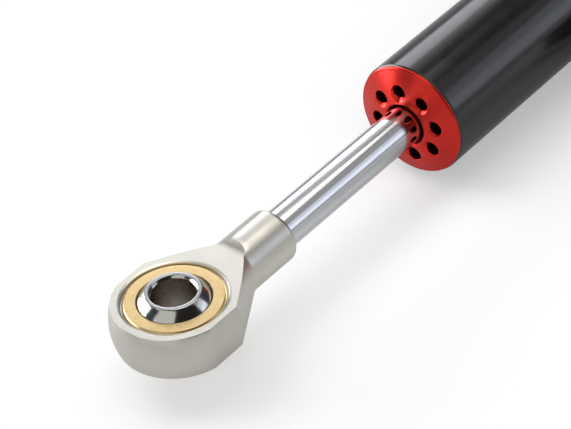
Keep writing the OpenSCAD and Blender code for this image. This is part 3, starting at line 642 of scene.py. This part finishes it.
def make_clamp():
    """One-piece clamp: split ring, pinch ears, and a boss for the pivot bearing."""
    cx, cy = CLAMP_CENTRE[:2]
    near, far = cx - CLAMP_HALF_W, cx + CLAMP_HALF_W
    rim_r = CLAMP_RING_R - CLAMP_CHAMFER
    clamp = turned(
        "tube_clamp_milled",
        [(near, 0), (near, rim_r), (near + CLAMP_CHAMFER, CLAMP_RING_R),
         (far - CLAMP_CHAMFER, CLAMP_RING_R), (far, rim_r), (far, 0)],
        steps=128,
    )
    cut_flats(clamp, CLAMP_FOOT)

    # The boss runs into the ring along two tangents
    away = -cy - BOSS_ROOT_Y
    lean = math.acos(BOSS_R / math.hypot(CLAMP_HALF_W, away))
    tangent = math.degrees(math.atan2(away, CLAMP_HALF_W) - lean)
    boss = [(near, -BOSS_ROOT_Y), (far, -BOSS_ROOT_Y)]
    boss += arc((cx, cy), BOSS_R, tangent, -180 - tangent, 72)
    stock = prism("boss_stock", [(x, y, -BOSS_HALF_H) for x, y in boss], (0, 0, 2 * BOSS_HALF_H))
    combine(clamp, stock, "UNION")
    ears = [
        (near, EAR_ROOT_Y), (far, EAR_ROOT_Y), (far, EAR_END_Y - EAR_CHAMFER),
        (far - EAR_CHAMFER, EAR_END_Y), (near + EAR_CHAMFER, EAR_END_Y), (near, EAR_END_Y - EAR_CHAMFER),
    ]
    stock = prism("ear_stock", [(x, y, -EAR_HALF_H) for x, y in ears], (0, 0, 2 * EAR_HALF_H))
    combine(clamp, stock, "UNION")

    before, past = near - CLEAR, far + CLEAR
    combine(clamp, drill("tube_bore_cutter", before, past, TUBE_R + CLOSE_FIT, steps=160))
    slit = [(before, 0), (past, 0), (past, EAR_END_Y + CLEAR), (before, EAR_END_Y + CLEAR)]
    combine(clamp, prism("slit_cutter", [(x, y, -SLIT_W / 2) for x, y in slit], (0, 0, SLIT_W)))
    combine(clamp, race_seat(BOSS_HALF_H, CLAMP_CENTRE))
    reach = SCREW_HOLE_REACH
    for side in (-1, 1):
        centre = (cx + side * SCREW_OUT, SCREW_Y, 0)
        hole = drill("screw_hole_cutter", -reach, reach, SCREW_R + CLOSE_FIT, Z_AXIS, centre, steps=48)
        combine(clamp, hole)
    fit_out(clamp, "tube_clamp", "cylinder", blasted_black, edge=0.3)


def make_pinch_screws():
    """Two socket-head screws with knurled heads, their threads in the lower ear."""
    x, y = MIDDLE_X - SCREW_OUT, SCREW_Y
    root_r = SCREW_R - THREAD_DEPTH
    seat, top = EAR_HALF_H, EAR_HALF_H + HEAD_H
    outline = (
        [(SCREW_TIP_Z, 0)]
        + thread_ridges(SCREW_TIP_Z, 7, SCREW_PITCH, root_r, SCREW_R)
        + [(THREAD_TOP_Z, root_r), (THREAD_TOP_Z + 0.3, SCREW_R), (seat, SCREW_R),
           (seat, HEAD_R - HEAD_FOOT_CHAMFER), (seat + HEAD_FOOT_CHAMFER, HEAD_R),
           (top - HEAD_CHAMFER, HEAD_R), (top, HEAD_R - HEAD_CHAMFER), (top, 0)]
    )
    screw = turned("pinch_screws_headed", outline, Z_AXIS, (x, y, 0), steps=2 * KNURLS)
    pick(screw)
    bpy.ops.object.mode_set(mode="EDIT")
    bpy.ops.mesh.select_all(action="DESELECT")
    mesh = bmesh.from_edit_mesh(screw.data)
    for face in mesh.faces:
        middle = face.calc_center_median() / MM - Vector((x, y, 0))
        turn = math.degrees(math.atan2(middle.y, middle.x)) % 360
        if seat + 0.2 < middle.z < top - 0.5 and middle.xy.length > HEAD_R - TOUCH:
            face.select = int(turn * 2 * KNURLS / 360) % 2 == 0
    bmesh.update_edit_mesh(screw.data)
    bpy.ops.mesh.inset(thickness=KNURL_MARGIN * MM, depth=-KNURL_DEPTH * MM, use_individual=True)
    bpy.ops.object.mode_set(mode="OBJECT")
    corners = [(x + a, y + b, top - SOCKET_DEPTH) for a, b in hexagon(SOCKET_R)]
    combine(screw, prism("socket_cutter", corners, (0, 0, SOCKET_DEPTH + CLEAR)))
    other = duplicate(screw, "other_pinch_screw", (2 * SCREW_OUT, 0, 0))
    pick(screw)
    other.select_set(True)
    bpy.ops.object.join()
    fit_out(screw, "pinch_screws", "cylinder", black_oxide, edge=0.06)


# Adjuster at the rear end of the rod


def make_collar():
    """Collar fixed on the rod, with the pocket for the click ball and the hole for its grub screw."""
    bore_r, rim_r = ROD_R + CLOSE_FIT, COLLAR_R - COLLAR_CHAMFER
    collar = turned(
        "adjuster_collar_turned",
        [(COLLAR_X, bore_r), (COLLAR_X, rim_r), (COLLAR_X + COLLAR_CHAMFER, COLLAR_R),
         (COLLAR_END_X - COLLAR_CHAMFER, COLLAR_R), (COLLAR_END_X, rim_r), (COLLAR_END_X, bore_r)],
        steps=144,
    )
    pocket = drill(
        "click_pocket_cutter", CLICK_POCKET_X, COLLAR_END_X + CLEAR, CLICK_R, centre=(0, 0, CLICK_CIRCLE_R)
    )
    combine(collar, pocket)
    hole = drill("grub_hole_cutter", 0, COLLAR_R + CLEAR, GRUB_R + CLOSE_FIT, Z_AXIS, (GRUB_X, 0, 0))
    lay_down(hole)
    combine(collar, hole)
    fit_out(collar, "adjuster_collar", "rod", turned_black, edge=0.08)


def make_grub_screw():
    """Grub screw that holds the collar on the rod."""
    grub = turned(
        "grub_screw_threaded",
        [(GRUB_FOOT, 0), (GRUB_FOOT, GRUB_CUP_R)]
        + thread_ridges(GRUB_FOOT + 0.1, 6, GRUB_PITCH, GRUB_ROOT_R, GRUB_R)
        + [(GRUB_TOP - 0.15, GRUB_END_R), (GRUB_TOP, GRUB_END_R), (GRUB_TOP, 0)],
        Z_AXIS, (GRUB_X, 0, 0), steps=48,
    )
    lay_down(grub)
    bottom = GRUB_TOP - GRUB_SOCKET_DEPTH
    corners = [(GRUB_X + a, -bottom, b) for a, b in hexagon(GRUB_SOCKET_R)]
    combine(grub, prism("grub_socket_cutter", corners, (0, -GRUB_SOCKET_DEPTH - CLEAR, 0)))
    fit_out(grub, "collar_grub_screw", "rod", black_oxide, edge=0.04)


def make_knob():
    """Click knob: a scalloped grip with dimples in its front face and a bearing on the rod."""
    bore_r, seat_r = ROD_R + RUNNING_FIT, INSERT_R + CLOSE_FIT
    knob = turned(
        "adjuster_knob_turned",
        [(KNOB_X, bore_r), (KNOB_X, KNOB_R - KNOB_CHAMFER), (KNOB_X + KNOB_CHAMFER, KNOB_R),
         (KNOB_END_X - KNOB_END_CHAMFER, KNOB_R), (KNOB_END_X, KNOB_R - KNOB_END_CHAMFER),
         (KNOB_END_X, seat_r), (KNOB_BORE_END_X, seat_r), (KNOB_BORE_END_X, bore_r)],
        steps=192,
    )
    first = math.pi / SCALLOPS
    centre = (0, SCALLOP_CIRCLE_R * math.cos(first), SCALLOP_CIRCLE_R * math.sin(first))
    mills = drill("scallop_cutters", SCALLOP_X, KNOB_END_X + CLEAR, SCALLOP_R, centre=centre, steps=48)
    ring_of_copies(mills, SCALLOPS)
    combine(knob, mills)
    bpy.ops.object.select_all(action="DESELECT")
    bpy.ops.mesh.primitive_uv_sphere_add(
        segments=20, ring_count=12, radius=CLICK_R * MM, location=(DIMPLE_X * MM, CLICK_CIRCLE_R * MM, 0)
    )
    dimples = bpy.context.object
    bpy.ops.object.transform_apply(location=True)
    ring_of_copies(dimples, DIMPLES)
    combine(knob, dimples)
    fit_out(knob, "adjuster_knob", "knob", red_anodised, edge=0.12)


def make_knob_insert():
    """Threaded brass insert that carries the needle, with two holes for a pin spanner."""
    insert = turned(
        "knob_insert_turned",
        [(INSERT_X, INSERT_BORE_R), (INSERT_X, INSERT_R), (KNOB_END_X - INSERT_CHAMFER, INSERT_R),
         (KNOB_END_X, INSERT_R - INSERT_CHAMFER), (KNOB_END_X, INSERT_BORE_R + INSERT_MOUTH),
         (KNOB_END_X - INSERT_MOUTH, INSERT_BORE_R)],
        steps=128,
    )
    for side in (-1, 1):
        hole = drill(
            "spanner_hole_cutter", KNOB_END_X - SPANNER_DEPTH, KNOB_END_X + CLEAR, SPANNER_R,
            centre=(0, side * SPANNER_OUT, 0), steps=32,
        )
        combine(insert, hole)
    fit_out(insert, "knob_insert", "knob", insert_brass, edge=0.06)


# Finishes


def hex_colour(code):
    """Linear colour of an sRGB hex value."""
    parts = [int(code[i:i + 2], 16) / 255 for i in (1, 3, 5)]
    return [c / 12.92 if c <= 0.04045 else ((c + 0.055) / 1.055) ** 2.4 for c in parts] + [1]


def add_node(tree, kind, feeds=None, **settings):
    """Adds a node with its settings; feeds gives each socket a value or another node's output."""
    node = tree.nodes.new(kind)
    for key, value in settings.items():
        setattr(node, key, value)
    for socket, value in (feeds or {}).items():
        if isinstance(value, bpy.types.NodeSocket):
            tree.links.new(value, node.inputs[socket])
        else:
            node.inputs[socket].default_value = value
    return node


def per(size):
    """Texture scale at which a noise cell is size millimetres."""
    return 1 / (size * MM)


def rings_per(size):
    """Scale at which a ring texture repeats every size millimetres."""
    return 2 * math.pi / 20 / (size * MM)


def new_material(name):
    """Starts a material whose patterns lie on the object's own coordinates."""
    material = bpy.data.materials.new(name)
    material.use_nodes = True
    tree = material.node_tree
    tree.nodes.clear()
    return material, tree, add_node(tree, "ShaderNodeTexCoord").outputs["Object"]


def surfaced(material, **feeds):
    """Gives a material its surface; each of its sockets gets a value or a pattern's output."""
    tree = material.node_tree
    feeds = {key.replace("_", " "): value for key, value in feeds.items()}
    surface = add_node(tree, "ShaderNodeBsdfPrincipled", feeds)
    add_node(tree, "ShaderNodeOutputMaterial", {"Surface": surface.outputs["BSDF"]})
    return material


def drift(tree, place, size, low, high):
    """Value or colour that drifts between low and high in patches of the given size."""
    noise = add_node(tree, "ShaderNodeTexNoise", {"Vector": place, "Scale": per(size), "Detail": 3})
    if isinstance(low, str):
        patches = add_node(
            tree, "ShaderNodeMix",
            {"Factor": noise.outputs["Fac"], "A": hex_colour(low), "B": hex_colour(high)},
            data_type="RGBA",
        )
    else:
        patches = add_node(
            tree, "ShaderNodeMapRange",
            {"Value": noise.outputs["Fac"], "From Min": 0.3, "From Max": 0.7,
             "To Min": low, "To Max": high},
        )
    return patches.outputs["Result"]


def turning_marks(tree, place, axis, centre, size, wobble):
    """Height of the fine rings a lathe leaves round an axis through centre, size millimetres apart."""
    centred = add_node(tree, "ShaderNodeMapping", {"Vector": place, "Location": [-c * MM for c in centre]})
    rings = add_node(
        tree, "ShaderNodeTexWave",
        {"Vector": centred.outputs["Vector"], "Scale": rings_per(size), "Distortion": wobble,
         "Detail": 2, "Detail Scale": 1.5},
        wave_type="RINGS", rings_direction=axis,
    )
    return rings.outputs["Fac"]


def grain(tree, place, size, depth, detail=2):
    """Way the surface faces over an even grain, its size and depth in millimetres."""
    noise = add_node(tree, "ShaderNodeTexNoise", {"Vector": place, "Scale": per(size), "Detail": detail})
    bumps = add_node(tree, "ShaderNodeBump", {"Height": noise.outputs["Fac"], "Distance": depth * MM})
    return bumps.outputs["Normal"]


def make_blasted_aluminium():
    """Aluminium, turned, milled and bead-blasted: a fine grain softens reflections to a silver glow."""
    material, tree, place = new_material("bead_blasted_aluminium")
    # The dents of 0.1 mm glass beads, drawn 0.25 mm across
    dents = grain(tree, place, 0.25, 0.012)
    return surfaced(
        material, Metallic=0.9, Normal=dents,
        Base_Color=drift(tree, place, 7, "#dcd9d0", "#e8e5dc"),
        Roughness=drift(tree, place, 3, 0.27, 0.34),
    )


def make_lapped_steel():
    """Bearing steel, ground and lapped round: a dark, sharp mirror with the faintest haze."""
    material, tree, place = new_material("lapped_bearing_steel")
    return surfaced(
        material, Metallic=1.0,
        Base_Color=drift(tree, place, 4, "#d2d1cf", "#dad9d7"),
        Roughness=drift(tree, place, 2, 0.13, 0.17),
    )


def make_faced_steel(centre):
    """Bearing steel ground flat: fine rings round the bore, a paler and softer sheen than the ball."""
    material, tree, place = new_material("faced_bearing_steel")
    # Grinding marks of 0.05 mm, drawn 0.2 mm apart
    rings = turning_marks(tree, place, "Z", centre, 0.2, 1.2)
    marks = add_node(tree, "ShaderNodeBump", {"Height": rings, "Distance": 0.002 * MM})
    return surfaced(
        material, Metallic=1.0, Normal=marks.outputs["Normal"],
        Base_Color=hex_colour("#bcbdc0"),
        Roughness=drift(tree, place, 1.5, 0.19, 0.26),
    )


def make_bore_steel_painted_shade():
    """Bearing steel as bored: dull, with a trace of oil, and darkened as painted shade so the hole reads
    deep.
    """
    material, tree, place = new_material("bore_steel_with_painted_shade")
    return surfaced(
        material, Metallic=1.0,
        Base_Color=drift(tree, place, 4, "#9c938b", "#aaa199"),
        Roughness=drift(tree, place, 1, 0.25, 0.36),
    )


def make_turned_brass(centre, axis="Z"):
    """Brass turned on a lathe: warm pale gold with fine rings, its tone changed where it was handled."""
    material, tree, place = new_material("turned_brass")
    # Feed marks of 0.1 mm, drawn 0.25 mm apart
    rings = turning_marks(tree, place, axis, centre, 0.25, 0.3)
    marks = add_node(tree, "ShaderNodeBump", {"Height": rings, "Distance": 0.0015 * MM})
    return surfaced(
        material, Metallic=1.0, Normal=marks.outputs["Normal"],
        Base_Color=drift(tree, place, 1.2, "#e6c68a", "#f6dca8"),
        Roughness=drift(tree, place, 1.5, 0.26, 0.35),
    )


def make_woven_liner():
    """Woven bearing liner in resin: dark brown cloth with a fine weave, dull against the steel."""
    material, tree, place = new_material("woven_bearing_liner")
    # Threads of 0.2 mm, drawn 0.35 mm apart
    weave = add_node(
        tree, "ShaderNodeTexVoronoi", {"Vector": place, "Scale": per(0.35)},
        feature="F1", distance="CHEBYCHEV",
    )
    tone = add_node(
        tree, "ShaderNodeMix",
        {"Factor": weave.outputs["Distance"], "A": hex_colour("#4a3e33"), "B": hex_colour("#2a241e")},
        data_type="RGBA",
    )
    threads = add_node(
        tree, "ShaderNodeBump", {"Height": weave.outputs["Distance"], "Distance": 0.02 * MM}
    )
    return surfaced(
        material, Roughness=0.65, Base_Color=tone.outputs["Result"], Normal=threads.outputs["Normal"]
    )


def make_hard_chrome():
    """Hard chrome, ground and polished: a bright, slightly blue mirror, clear along the rod."""
    material, tree, place = new_material("hard_chrome_on_steel")
    return surfaced(
        material, Metallic=1.0,
        Base_Color=drift(tree, place, 9, "#dadce0", "#e4e6e8"),
        Roughness=drift(tree, place, 5, 0.1, 0.14),
    )


def make_red_anodised():
    """Aluminium turned bright and anodised: a clear, full red whose fine rings fan the light out."""
    material, tree, place = new_material("bright_red_anodised_aluminium")
    tangent = add_node(tree, "ShaderNodeTangent", direction_type="RADIAL", axis="X")
    # Feed marks of 0.1 mm, drawn 0.3 mm apart
    rings = turning_marks(tree, place, "X", ORIGIN, 0.3, 0.8)
    marks = add_node(tree, "ShaderNodeBump", {"Height": rings, "Distance": 0.0025 * MM})
    # The clear film over the dye follows the marks more steeply, so it fans white light out
    film = add_node(tree, "ShaderNodeBump", {"Height": rings, "Distance": 0.025 * MM})
    return surfaced(
        material, Metallic=1.0, Anisotropic=0.85, Anisotropic_Rotation=0.25,
        Coat_Weight=0.4, Coat_Roughness=0.2, Coat_IOR=1.6,
        Base_Color=drift(tree, place, 5, "#e42416", "#f42d1e"),
        Roughness=drift(tree, place, 2, 0.3, 0.36),
        Tangent=tangent.outputs["Tangent"],
        Normal=marks.outputs["Normal"], Coat_Normal=film.outputs["Normal"],
    )


def make_hole_red_painted_shade():
    """The same red film on drilled walls: rough, with a dark wine red that is painted shade so the holes read
    deep.
    """
    material, tree, place = new_material("hole_red_painted_shade_anodised_aluminium")
    # Drill marks of 0.05 mm, drawn 0.25 mm apart
    rings = turning_marks(tree, place, "X", ORIGIN, 0.25, 2)
    marks = add_node(tree, "ShaderNodeBump", {"Height": rings, "Distance": 0.003 * MM})
    return surfaced(
        material, Metallic=1.0, Normal=marks.outputs["Normal"],
        Base_Color=drift(tree, place, 1.5, "#62120d", "#7a1a13"),
        Roughness=drift(tree, place, 0.8, 0.4, 0.5),
    )


def finish_black(material, tree, place, marks):
    """Anodised black film over the marks: near black face on, silvery where light grazes it."""
    return surfaced(
        material, IOR=1.72, Normal=marks,
        Base_Color=drift(tree, place, 12, "#0e0e10", "#141416"),
        Roughness=drift(tree, place, 4, 0.14, 0.19),
    )


def make_turned_black():
    """Aluminium turned and anodised black: a smooth satin film with barely a trace of the lathe."""
    material, tree, place = new_material("satin_black_anodised_turned")
    # Turning marks of 0.15 mm, drawn 0.5 mm apart and almost flat
    bands = add_node(
        tree, "ShaderNodeTexWave",
        {"Vector": place, "Scale": rings_per(0.5), "Distortion": 0.6, "Detail": 2},
        wave_type="BANDS", bands_direction="X",
    )
    marks = add_node(tree, "ShaderNodeBump", {"Height": bands.outputs["Fac"], "Distance": 0.0009 * MM})
    return finish_black(material, tree, place, marks.outputs["Normal"])


def make_blasted_black():
    """Aluminium milled, blasted and anodised black: the same satin film over a fine grain."""
    material, tree, place = new_material("satin_black_anodised_blasted")
    # Grain of the blasting under the film, 0.1 mm, drawn 0.3 mm across
    return finish_black(material, tree, place, grain(tree, place, 0.3, 0.006))


def make_black_oxide():
    """Alloy steel in black oxide: a thin oily black with a low brown sheen, as on socket screws."""
    material, tree, place = new_material("black_oxide_steel")
    # Etched grain under the oxide, 0.02 mm, drawn 0.25 mm across
    etching = grain(tree, place, 0.25, 0.004)
    return surfaced(
        material, Metallic=1.0, Normal=etching,
        Base_Color=drift(tree, place, 1.5, "#2f2d2b", "#47443f"),
        Roughness=drift(tree, place, 1, 0.28, 0.42),
    )


def make_nitrile_rubber():
    """Moulded nitrile rubber with an oil film: matt black with a soft low sheen."""
    material, tree, place = new_material("moulded_nitrile_rubber")
    # Grain of the mould, 0.05 mm, drawn 0.2 mm across
    skin = grain(tree, place, 0.2, 0.008)
    return surfaced(
        material, IOR=1.52, Normal=skin,
        Base_Color=drift(tree, place, 2, "#171718", "#222223"),
        Roughness=drift(tree, place, 1.5, 0.45, 0.62),
    )


def make_sintered_bronze():
    """Sintered bronze: a warm brown metal with tiny open pores that hold oil."""
    material, tree, place = new_material("sintered_bronze")
    # Pores of 0.05 mm, drawn 0.25 mm apart
    cells = add_node(tree, "ShaderNodeTexVoronoi", {"Vector": place, "Scale": per(0.25)}, feature="F1")
    pores = add_node(tree, "ShaderNodeMapRange", {"Value": cells.outputs["Distance"], "From Max": 0.25})
    pits = add_node(tree, "ShaderNodeBump", {"Height": pores.outputs["Result"], "Distance": 0.01 * MM})
    return surfaced(
        material, Metallic=1.0, Roughness=0.42, Normal=pits.outputs["Normal"],
        Base_Color=drift(tree, place, 3, "#a06f41", "#bd8a57"),
    )


def make_spring_steel():
    """Spring steel, ground and tumbled: grey, slightly warm, with a soft brushed sheen."""
    material, tree, place = new_material("tumbled_spring_steel")
    # Tumbling marks of 0.05 mm, drawn 0.2 mm across
    marks = grain(tree, place, 0.2, 0.003, detail=3)
    return surfaced(
        material, Metallic=1.0, Normal=marks,
        Base_Color=drift(tree, place, 2, "#9a9b9d", "#b3b3b4"),
        Roughness=drift(tree, place, 1, 0.24, 0.36),
    )


def make_filled_polymer():
    """Bearing-grade polymer with a filler: waxy off-white, faintly mottled by the filler."""
    material, tree, place = new_material("filled_bearing_polymer")
    return surfaced(
        material, IOR=1.36,
        Base_Color=drift(tree, place, 0.8, "#d9d4c6", "#ece9df"),
        Roughness=drift(tree, place, 2, 0.36, 0.48),
    )


blasted_aluminium = make_blasted_aluminium()
lapped_steel = make_lapped_steel()
faced_steel = {"rod_end": make_faced_steel(ORIGIN), "clamp_bearing": make_faced_steel(CLAMP_CENTRE)}
# Bore walls of the balls, darkened as painted shade
bore_steel_painted_shade = make_bore_steel_painted_shade()
race_brass = {"rod_end": make_turned_brass(ORIGIN), "clamp_bearing": make_turned_brass(CLAMP_CENTRE)}
insert_brass = make_turned_brass(ORIGIN, "X")
woven_liner = make_woven_liner()
hard_chrome = make_hard_chrome()
red_anodised = make_red_anodised()
# Walls and bottoms of the pin holes, a dark red that is painted shade
hole_red_painted_shade = make_hole_red_painted_shade()
turned_black = make_turned_black()
blasted_black = make_blasted_black()
black_oxide = make_black_oxide()
nitrile_rubber = make_nitrile_rubber()

INNER_FINISHES = (
    (nitrile_rubber, (
        "front_rod_seal", "rear_rod_seal", "front_cap_oring", "rear_cap_oring", "needle_oring",
    )),
    (make_sintered_bronze(), ("front_guide_bush", "rear_guide_bush", "piston")),
    (make_spring_steel(), (
        "front_shims", "rear_shims", "support_washers", "piston_retaining_rings",
        "click_spring", "knob_retaining_ring", "metering_needle", "needle_key_pin",
    )),
    (make_filled_polymer(), ("piston_ring",)),
    (lapped_steel, ("click_ball",)),
)


def dress_inner_nodes():
    """Gives the hidden CAD nodes, which stay as they are, the finishes of the real ones."""
    for material, nodes in INNER_FINISHES:
        for node in nodes:
            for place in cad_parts[node].material_slots:
                place.material = material


# Studio: camera, lamps, cards and floor. The last three are placed in metres, by azimuths
# from +X towards +Y and elevations in degrees.

STUDIO_CENTRE = Vector((0.05, 0, 0))
LAMP_DISTANCE = 2.0
CARD_DISTANCE = 2.6
WALL_DISTANCE = 3.2
FLOOR_SIZE = 12
# Light that the world gives to matt surfaces, where 1 is white
WORLD_FILL = 0.5
# Light of its own that the floor shows the camera, and the share of it that metal mirrors
FLOOR_LIFT = 0.32
FLOOR_LIFT_IN_METAL = 0.3


def look_from(azimuth, elevation):
    """Direction from the object, at an azimuth and an elevation."""
    azimuth, elevation = math.radians(azimuth), math.radians(elevation)
    level = math.cos(elevation)
    return Vector((level * math.cos(azimuth), level * math.sin(azimuth), math.sin(elevation)))


def span(angle, distance):
    """Width that fills an angle in degrees at a distance."""
    return 2 * distance * math.tan(math.radians(angle / 2))


def make_camera():
    """Camera at the place fitted to the photograph."""
    at = Vector((-212.27, -238.40, 268.89)) * MM
    looks_at = Vector((32.88, 2.04, 0)) * MM
    roll = math.radians(-7.863)
    data = bpy.data.cameras.new("camera")
    data.lens = 147.22
    camera = bpy.data.objects.new("camera", data)
    bpy.context.scene.collection.objects.link(camera)
    turn = (looks_at - at).to_track_quat("-Z", "Y").to_matrix().to_4x4()
    camera.matrix_world = Matrix.Translation(at) @ turn @ Matrix.Rotation(roll, 4, "Z")
    bpy.context.scene.camera = camera


def softbox(name, azimuth, elevation, width, height, radiance, colour, seen=True):
    """Area lamp that spans width by height degrees; reflections show its radiance if it is seen."""
    direction = look_from(azimuth, elevation)
    data = bpy.data.lights.new(name, "AREA")
    data.shape = "RECTANGLE"
    data.size = span(width, LAMP_DISTANCE)
    data.size_y = span(height, LAMP_DISTANCE)
    data.energy = radiance * math.pi * data.size * data.size_y
    data.color = hex_colour(colour)[:3]
    lamp = bpy.data.objects.new(name, data)
    lamp.location = STUDIO_CENTRE + direction * LAMP_DISTANCE
    lamp.rotation_euler = (-direction).to_track_quat("-Z", "Y").to_euler()
    lamp.visible_camera = False
    lamp.visible_glossy = seen
    bpy.context.scene.collection.objects.link(lamp)


def card(name, azimuth, elevation, width, height, tone, distance=CARD_DISTANCE):
    """Evenly lit card that only reflections see, as a studio's walls, panels and flags."""
    direction = look_from(azimuth, elevation)
    bpy.ops.object.select_all(action="DESELECT")
    bpy.ops.mesh.primitive_plane_add(size=1, location=STUDIO_CENTRE + direction * distance)
    piece = bpy.context.object
    piece.name = name
    piece.rotation_euler = direction.to_track_quat("Z", "Y").to_euler()
    piece.scale = (span(width, distance), span(height, distance), 1)
    material = bpy.data.materials.new(name)
    material.use_nodes = True
    tree = material.node_tree
    tree.nodes.clear()
    glow = add_node(tree, "ShaderNodeEmission", {"Color": hex_colour(tone)})
    add_node(tree, "ShaderNodeOutputMaterial", {"Surface": glow.outputs["Emission"]})
    piece.data.materials.append(material)
    piece.visible_camera = piece.visible_diffuse = False
    piece.visible_shadow = piece.visible_transmission = False


def seen_rays(tree, path, in_metal):
    """1 for rays from the camera, and in_metal for rays that metal and glass reflect or let through."""
    gloss = add_node(
        tree, "ShaderNodeMath",
        {0: path.outputs["Is Glossy Ray"], 1: path.outputs["Is Transmission Ray"]}, operation="ADD",
    )
    part = add_node(tree, "ShaderNodeMath", {0: gloss.outputs["Value"], 1: in_metal}, operation="MULTIPLY")
    total = add_node(
        tree, "ShaderNodeMath", {0: part.outputs["Value"], 1: path.outputs["Is Camera Ray"]},
        operation="ADD", use_clamp=True,
    )
    return total.outputs["Value"]


def make_world():
    """White backdrop for the camera and for reflections; a weak even fill for everything else."""
    world = bpy.data.worlds.new("studio")
    world.use_nodes = True
    tree = world.node_tree
    tree.nodes.clear()
    path = add_node(tree, "ShaderNodeLightPath")
    strength = add_node(tree, "ShaderNodeMapRange", {"Value": seen_rays(tree, path, 1), "To Min": WORLD_FILL})
    backdrop = add_node(
        tree, "ShaderNodeBackground", {"Color": hex_colour("#ffffff"), "Strength": strength.outputs["Result"]}
    )
    add_node(tree, "ShaderNodeOutputWorld", {"Surface": backdrop.outputs["Background"]})
    bpy.context.scene.world = world


def make_floor():
    """Pale floor under the clamp's flat foot; light of its own keeps it white but for the shadow."""
    bpy.ops.object.select_all(action="DESELECT")
    bpy.ops.mesh.primitive_plane_add(
        size=FLOOR_SIZE, location=(STUDIO_CENTRE.x, STUDIO_CENTRE.y, -CLAMP_FOOT * MM)
    )
    floor = bpy.context.object
    floor.name = "floor"
    material, tree, place = new_material("white_paper")
    path = add_node(tree, "ShaderNodeLightPath")
    # Metal mirrors a greyer floor away from a spot behind the rod, as where the paper falls into shade
    reach = add_node(tree, "ShaderNodeVectorMath", {0: place, 1: (-0.015, 0.09, 0)}, operation="DISTANCE")
    shade = add_node(
        tree, "ShaderNodeMapRange",
        {"Value": reach.outputs["Value"], "From Min": 0.06, "From Max": 0.155,
         "To Min": 0.1, "To Max": 0.6},
    )
    metal_shade = add_node(
        tree, "ShaderNodeMath", {0: shade.outputs["Result"], 1: path.outputs["Is Glossy Ray"]},
        operation="MULTIPLY",
    )
    tone = add_node(
        tree, "ShaderNodeMix",
        {"Factor": metal_shade.outputs["Value"], "A": hex_colour("#e8e8e9"), "B": hex_colour("#303030")},
        data_type="RGBA",
    )
    paper = add_node(tree, "ShaderNodeBsdfDiffuse", {"Color": tone.outputs["Result"], "Roughness": 1})
    lift = add_node(
        tree, "ShaderNodeMath", {0: seen_rays(tree, path, FLOOR_LIFT_IN_METAL), 1: FLOOR_LIFT},
        operation="MULTIPLY",
    )
    glow = add_node(
        tree, "ShaderNodeEmission", {"Color": hex_colour("#ffffff"), "Strength": lift.outputs["Value"]}
    )
    both = add_node(tree, "ShaderNodeAddShader", {0: paper.outputs["BSDF"], 1: glow.outputs["Emission"]})
    add_node(tree, "ShaderNodeOutputMaterial", {"Surface": both.outputs["Shader"]})
    floor.data.materials.append(material)


make_camera()
bpy.context.scene.view_settings.view_transform = "Standard"
make_world()
make_floor()

# Name, azimuth, elevation, width, height, radiance and colour
softbox("side_softbox", 105, 14, 48, 32, 5.0, "#fbfdff")
softbox("far_softbox", 48, 24, 18, 25, 2.4, "#f8fbff")
softbox("rear_softbox", -46, 15, 26, 14, 1.2, "#eaf0ff")
softbox("top_softbox", -15, 73.5, 28, 42, 1.25, "#fff8ee")
softbox("overhead_key", 105, 62, 40, 30, 2.8, "#ffffff", seen=False)

# Name, azimuth, elevation, width, height and tone
card("flag_by_camera", -101, 30, 78, 56, "#262422")
card("far_wall", 8, 26, 134, 55, "#4c4d50", WALL_DISTANCE)
card("far_wall_dark", -15, 10.5, 30, 23, "#393c40")
card("panel_beside_softbox", 37, 40, 10, 8, "#eeeeee")
card("panel_over_softbox", 30, 45.5, 9, 7, "#c4c4c4")
card("panel_under_panels", 29, 35, 14, 8, "#ffffff")
card("panel_over_flats", 54, 42.5, 13, 11, "#b4b4b0")
card("panel_beside_top_softbox", 22.5, 52, 9, 5, "#c8c8c8")
card("wall_under_softbox", 52, 5.5, 45, 13, "#8a8d94")
card("panel_over_rear_softbox", -42, 42, 27, 14, "#a2a2a2")
card("panel_of_rear_softbox", -46, 28, 25, 12, "#dde2ec")
card("wall_under_rear_softbox", -53, 3.5, 43, 9, "#a8a8a8")
card("dark_wall_left", 144, 22, 27, 46, "#303337")
card("ceiling_beside_top_softbox", -64, 62, 54, 30, "#8c8c8c", WALL_DISTANCE)
card("wall_over_side_softbox", 105, 46, 38, 30, "#7c7c7c")
card("grey_wall_behind", 188, 29, 50, 54, "#d3d3cc")
card("dark_ceiling_behind", 188, 71, 60, 28, "#2a2a2c")

bearing("rod_end", ORIGIN, "rod", "eye_liner", "eye_ball")
bearing("clamp_bearing", CLAMP_CENTRE, "cylinder", "clamp_liner", "clamp_ball")
make_rod_end()
make_tube()
make_caps()
make_wipers()
make_rod()
make_clamp()
make_pinch_screws()
make_collar()
make_grub_screw()
make_knob()
make_knob_insert()
dress_inner_nodes()
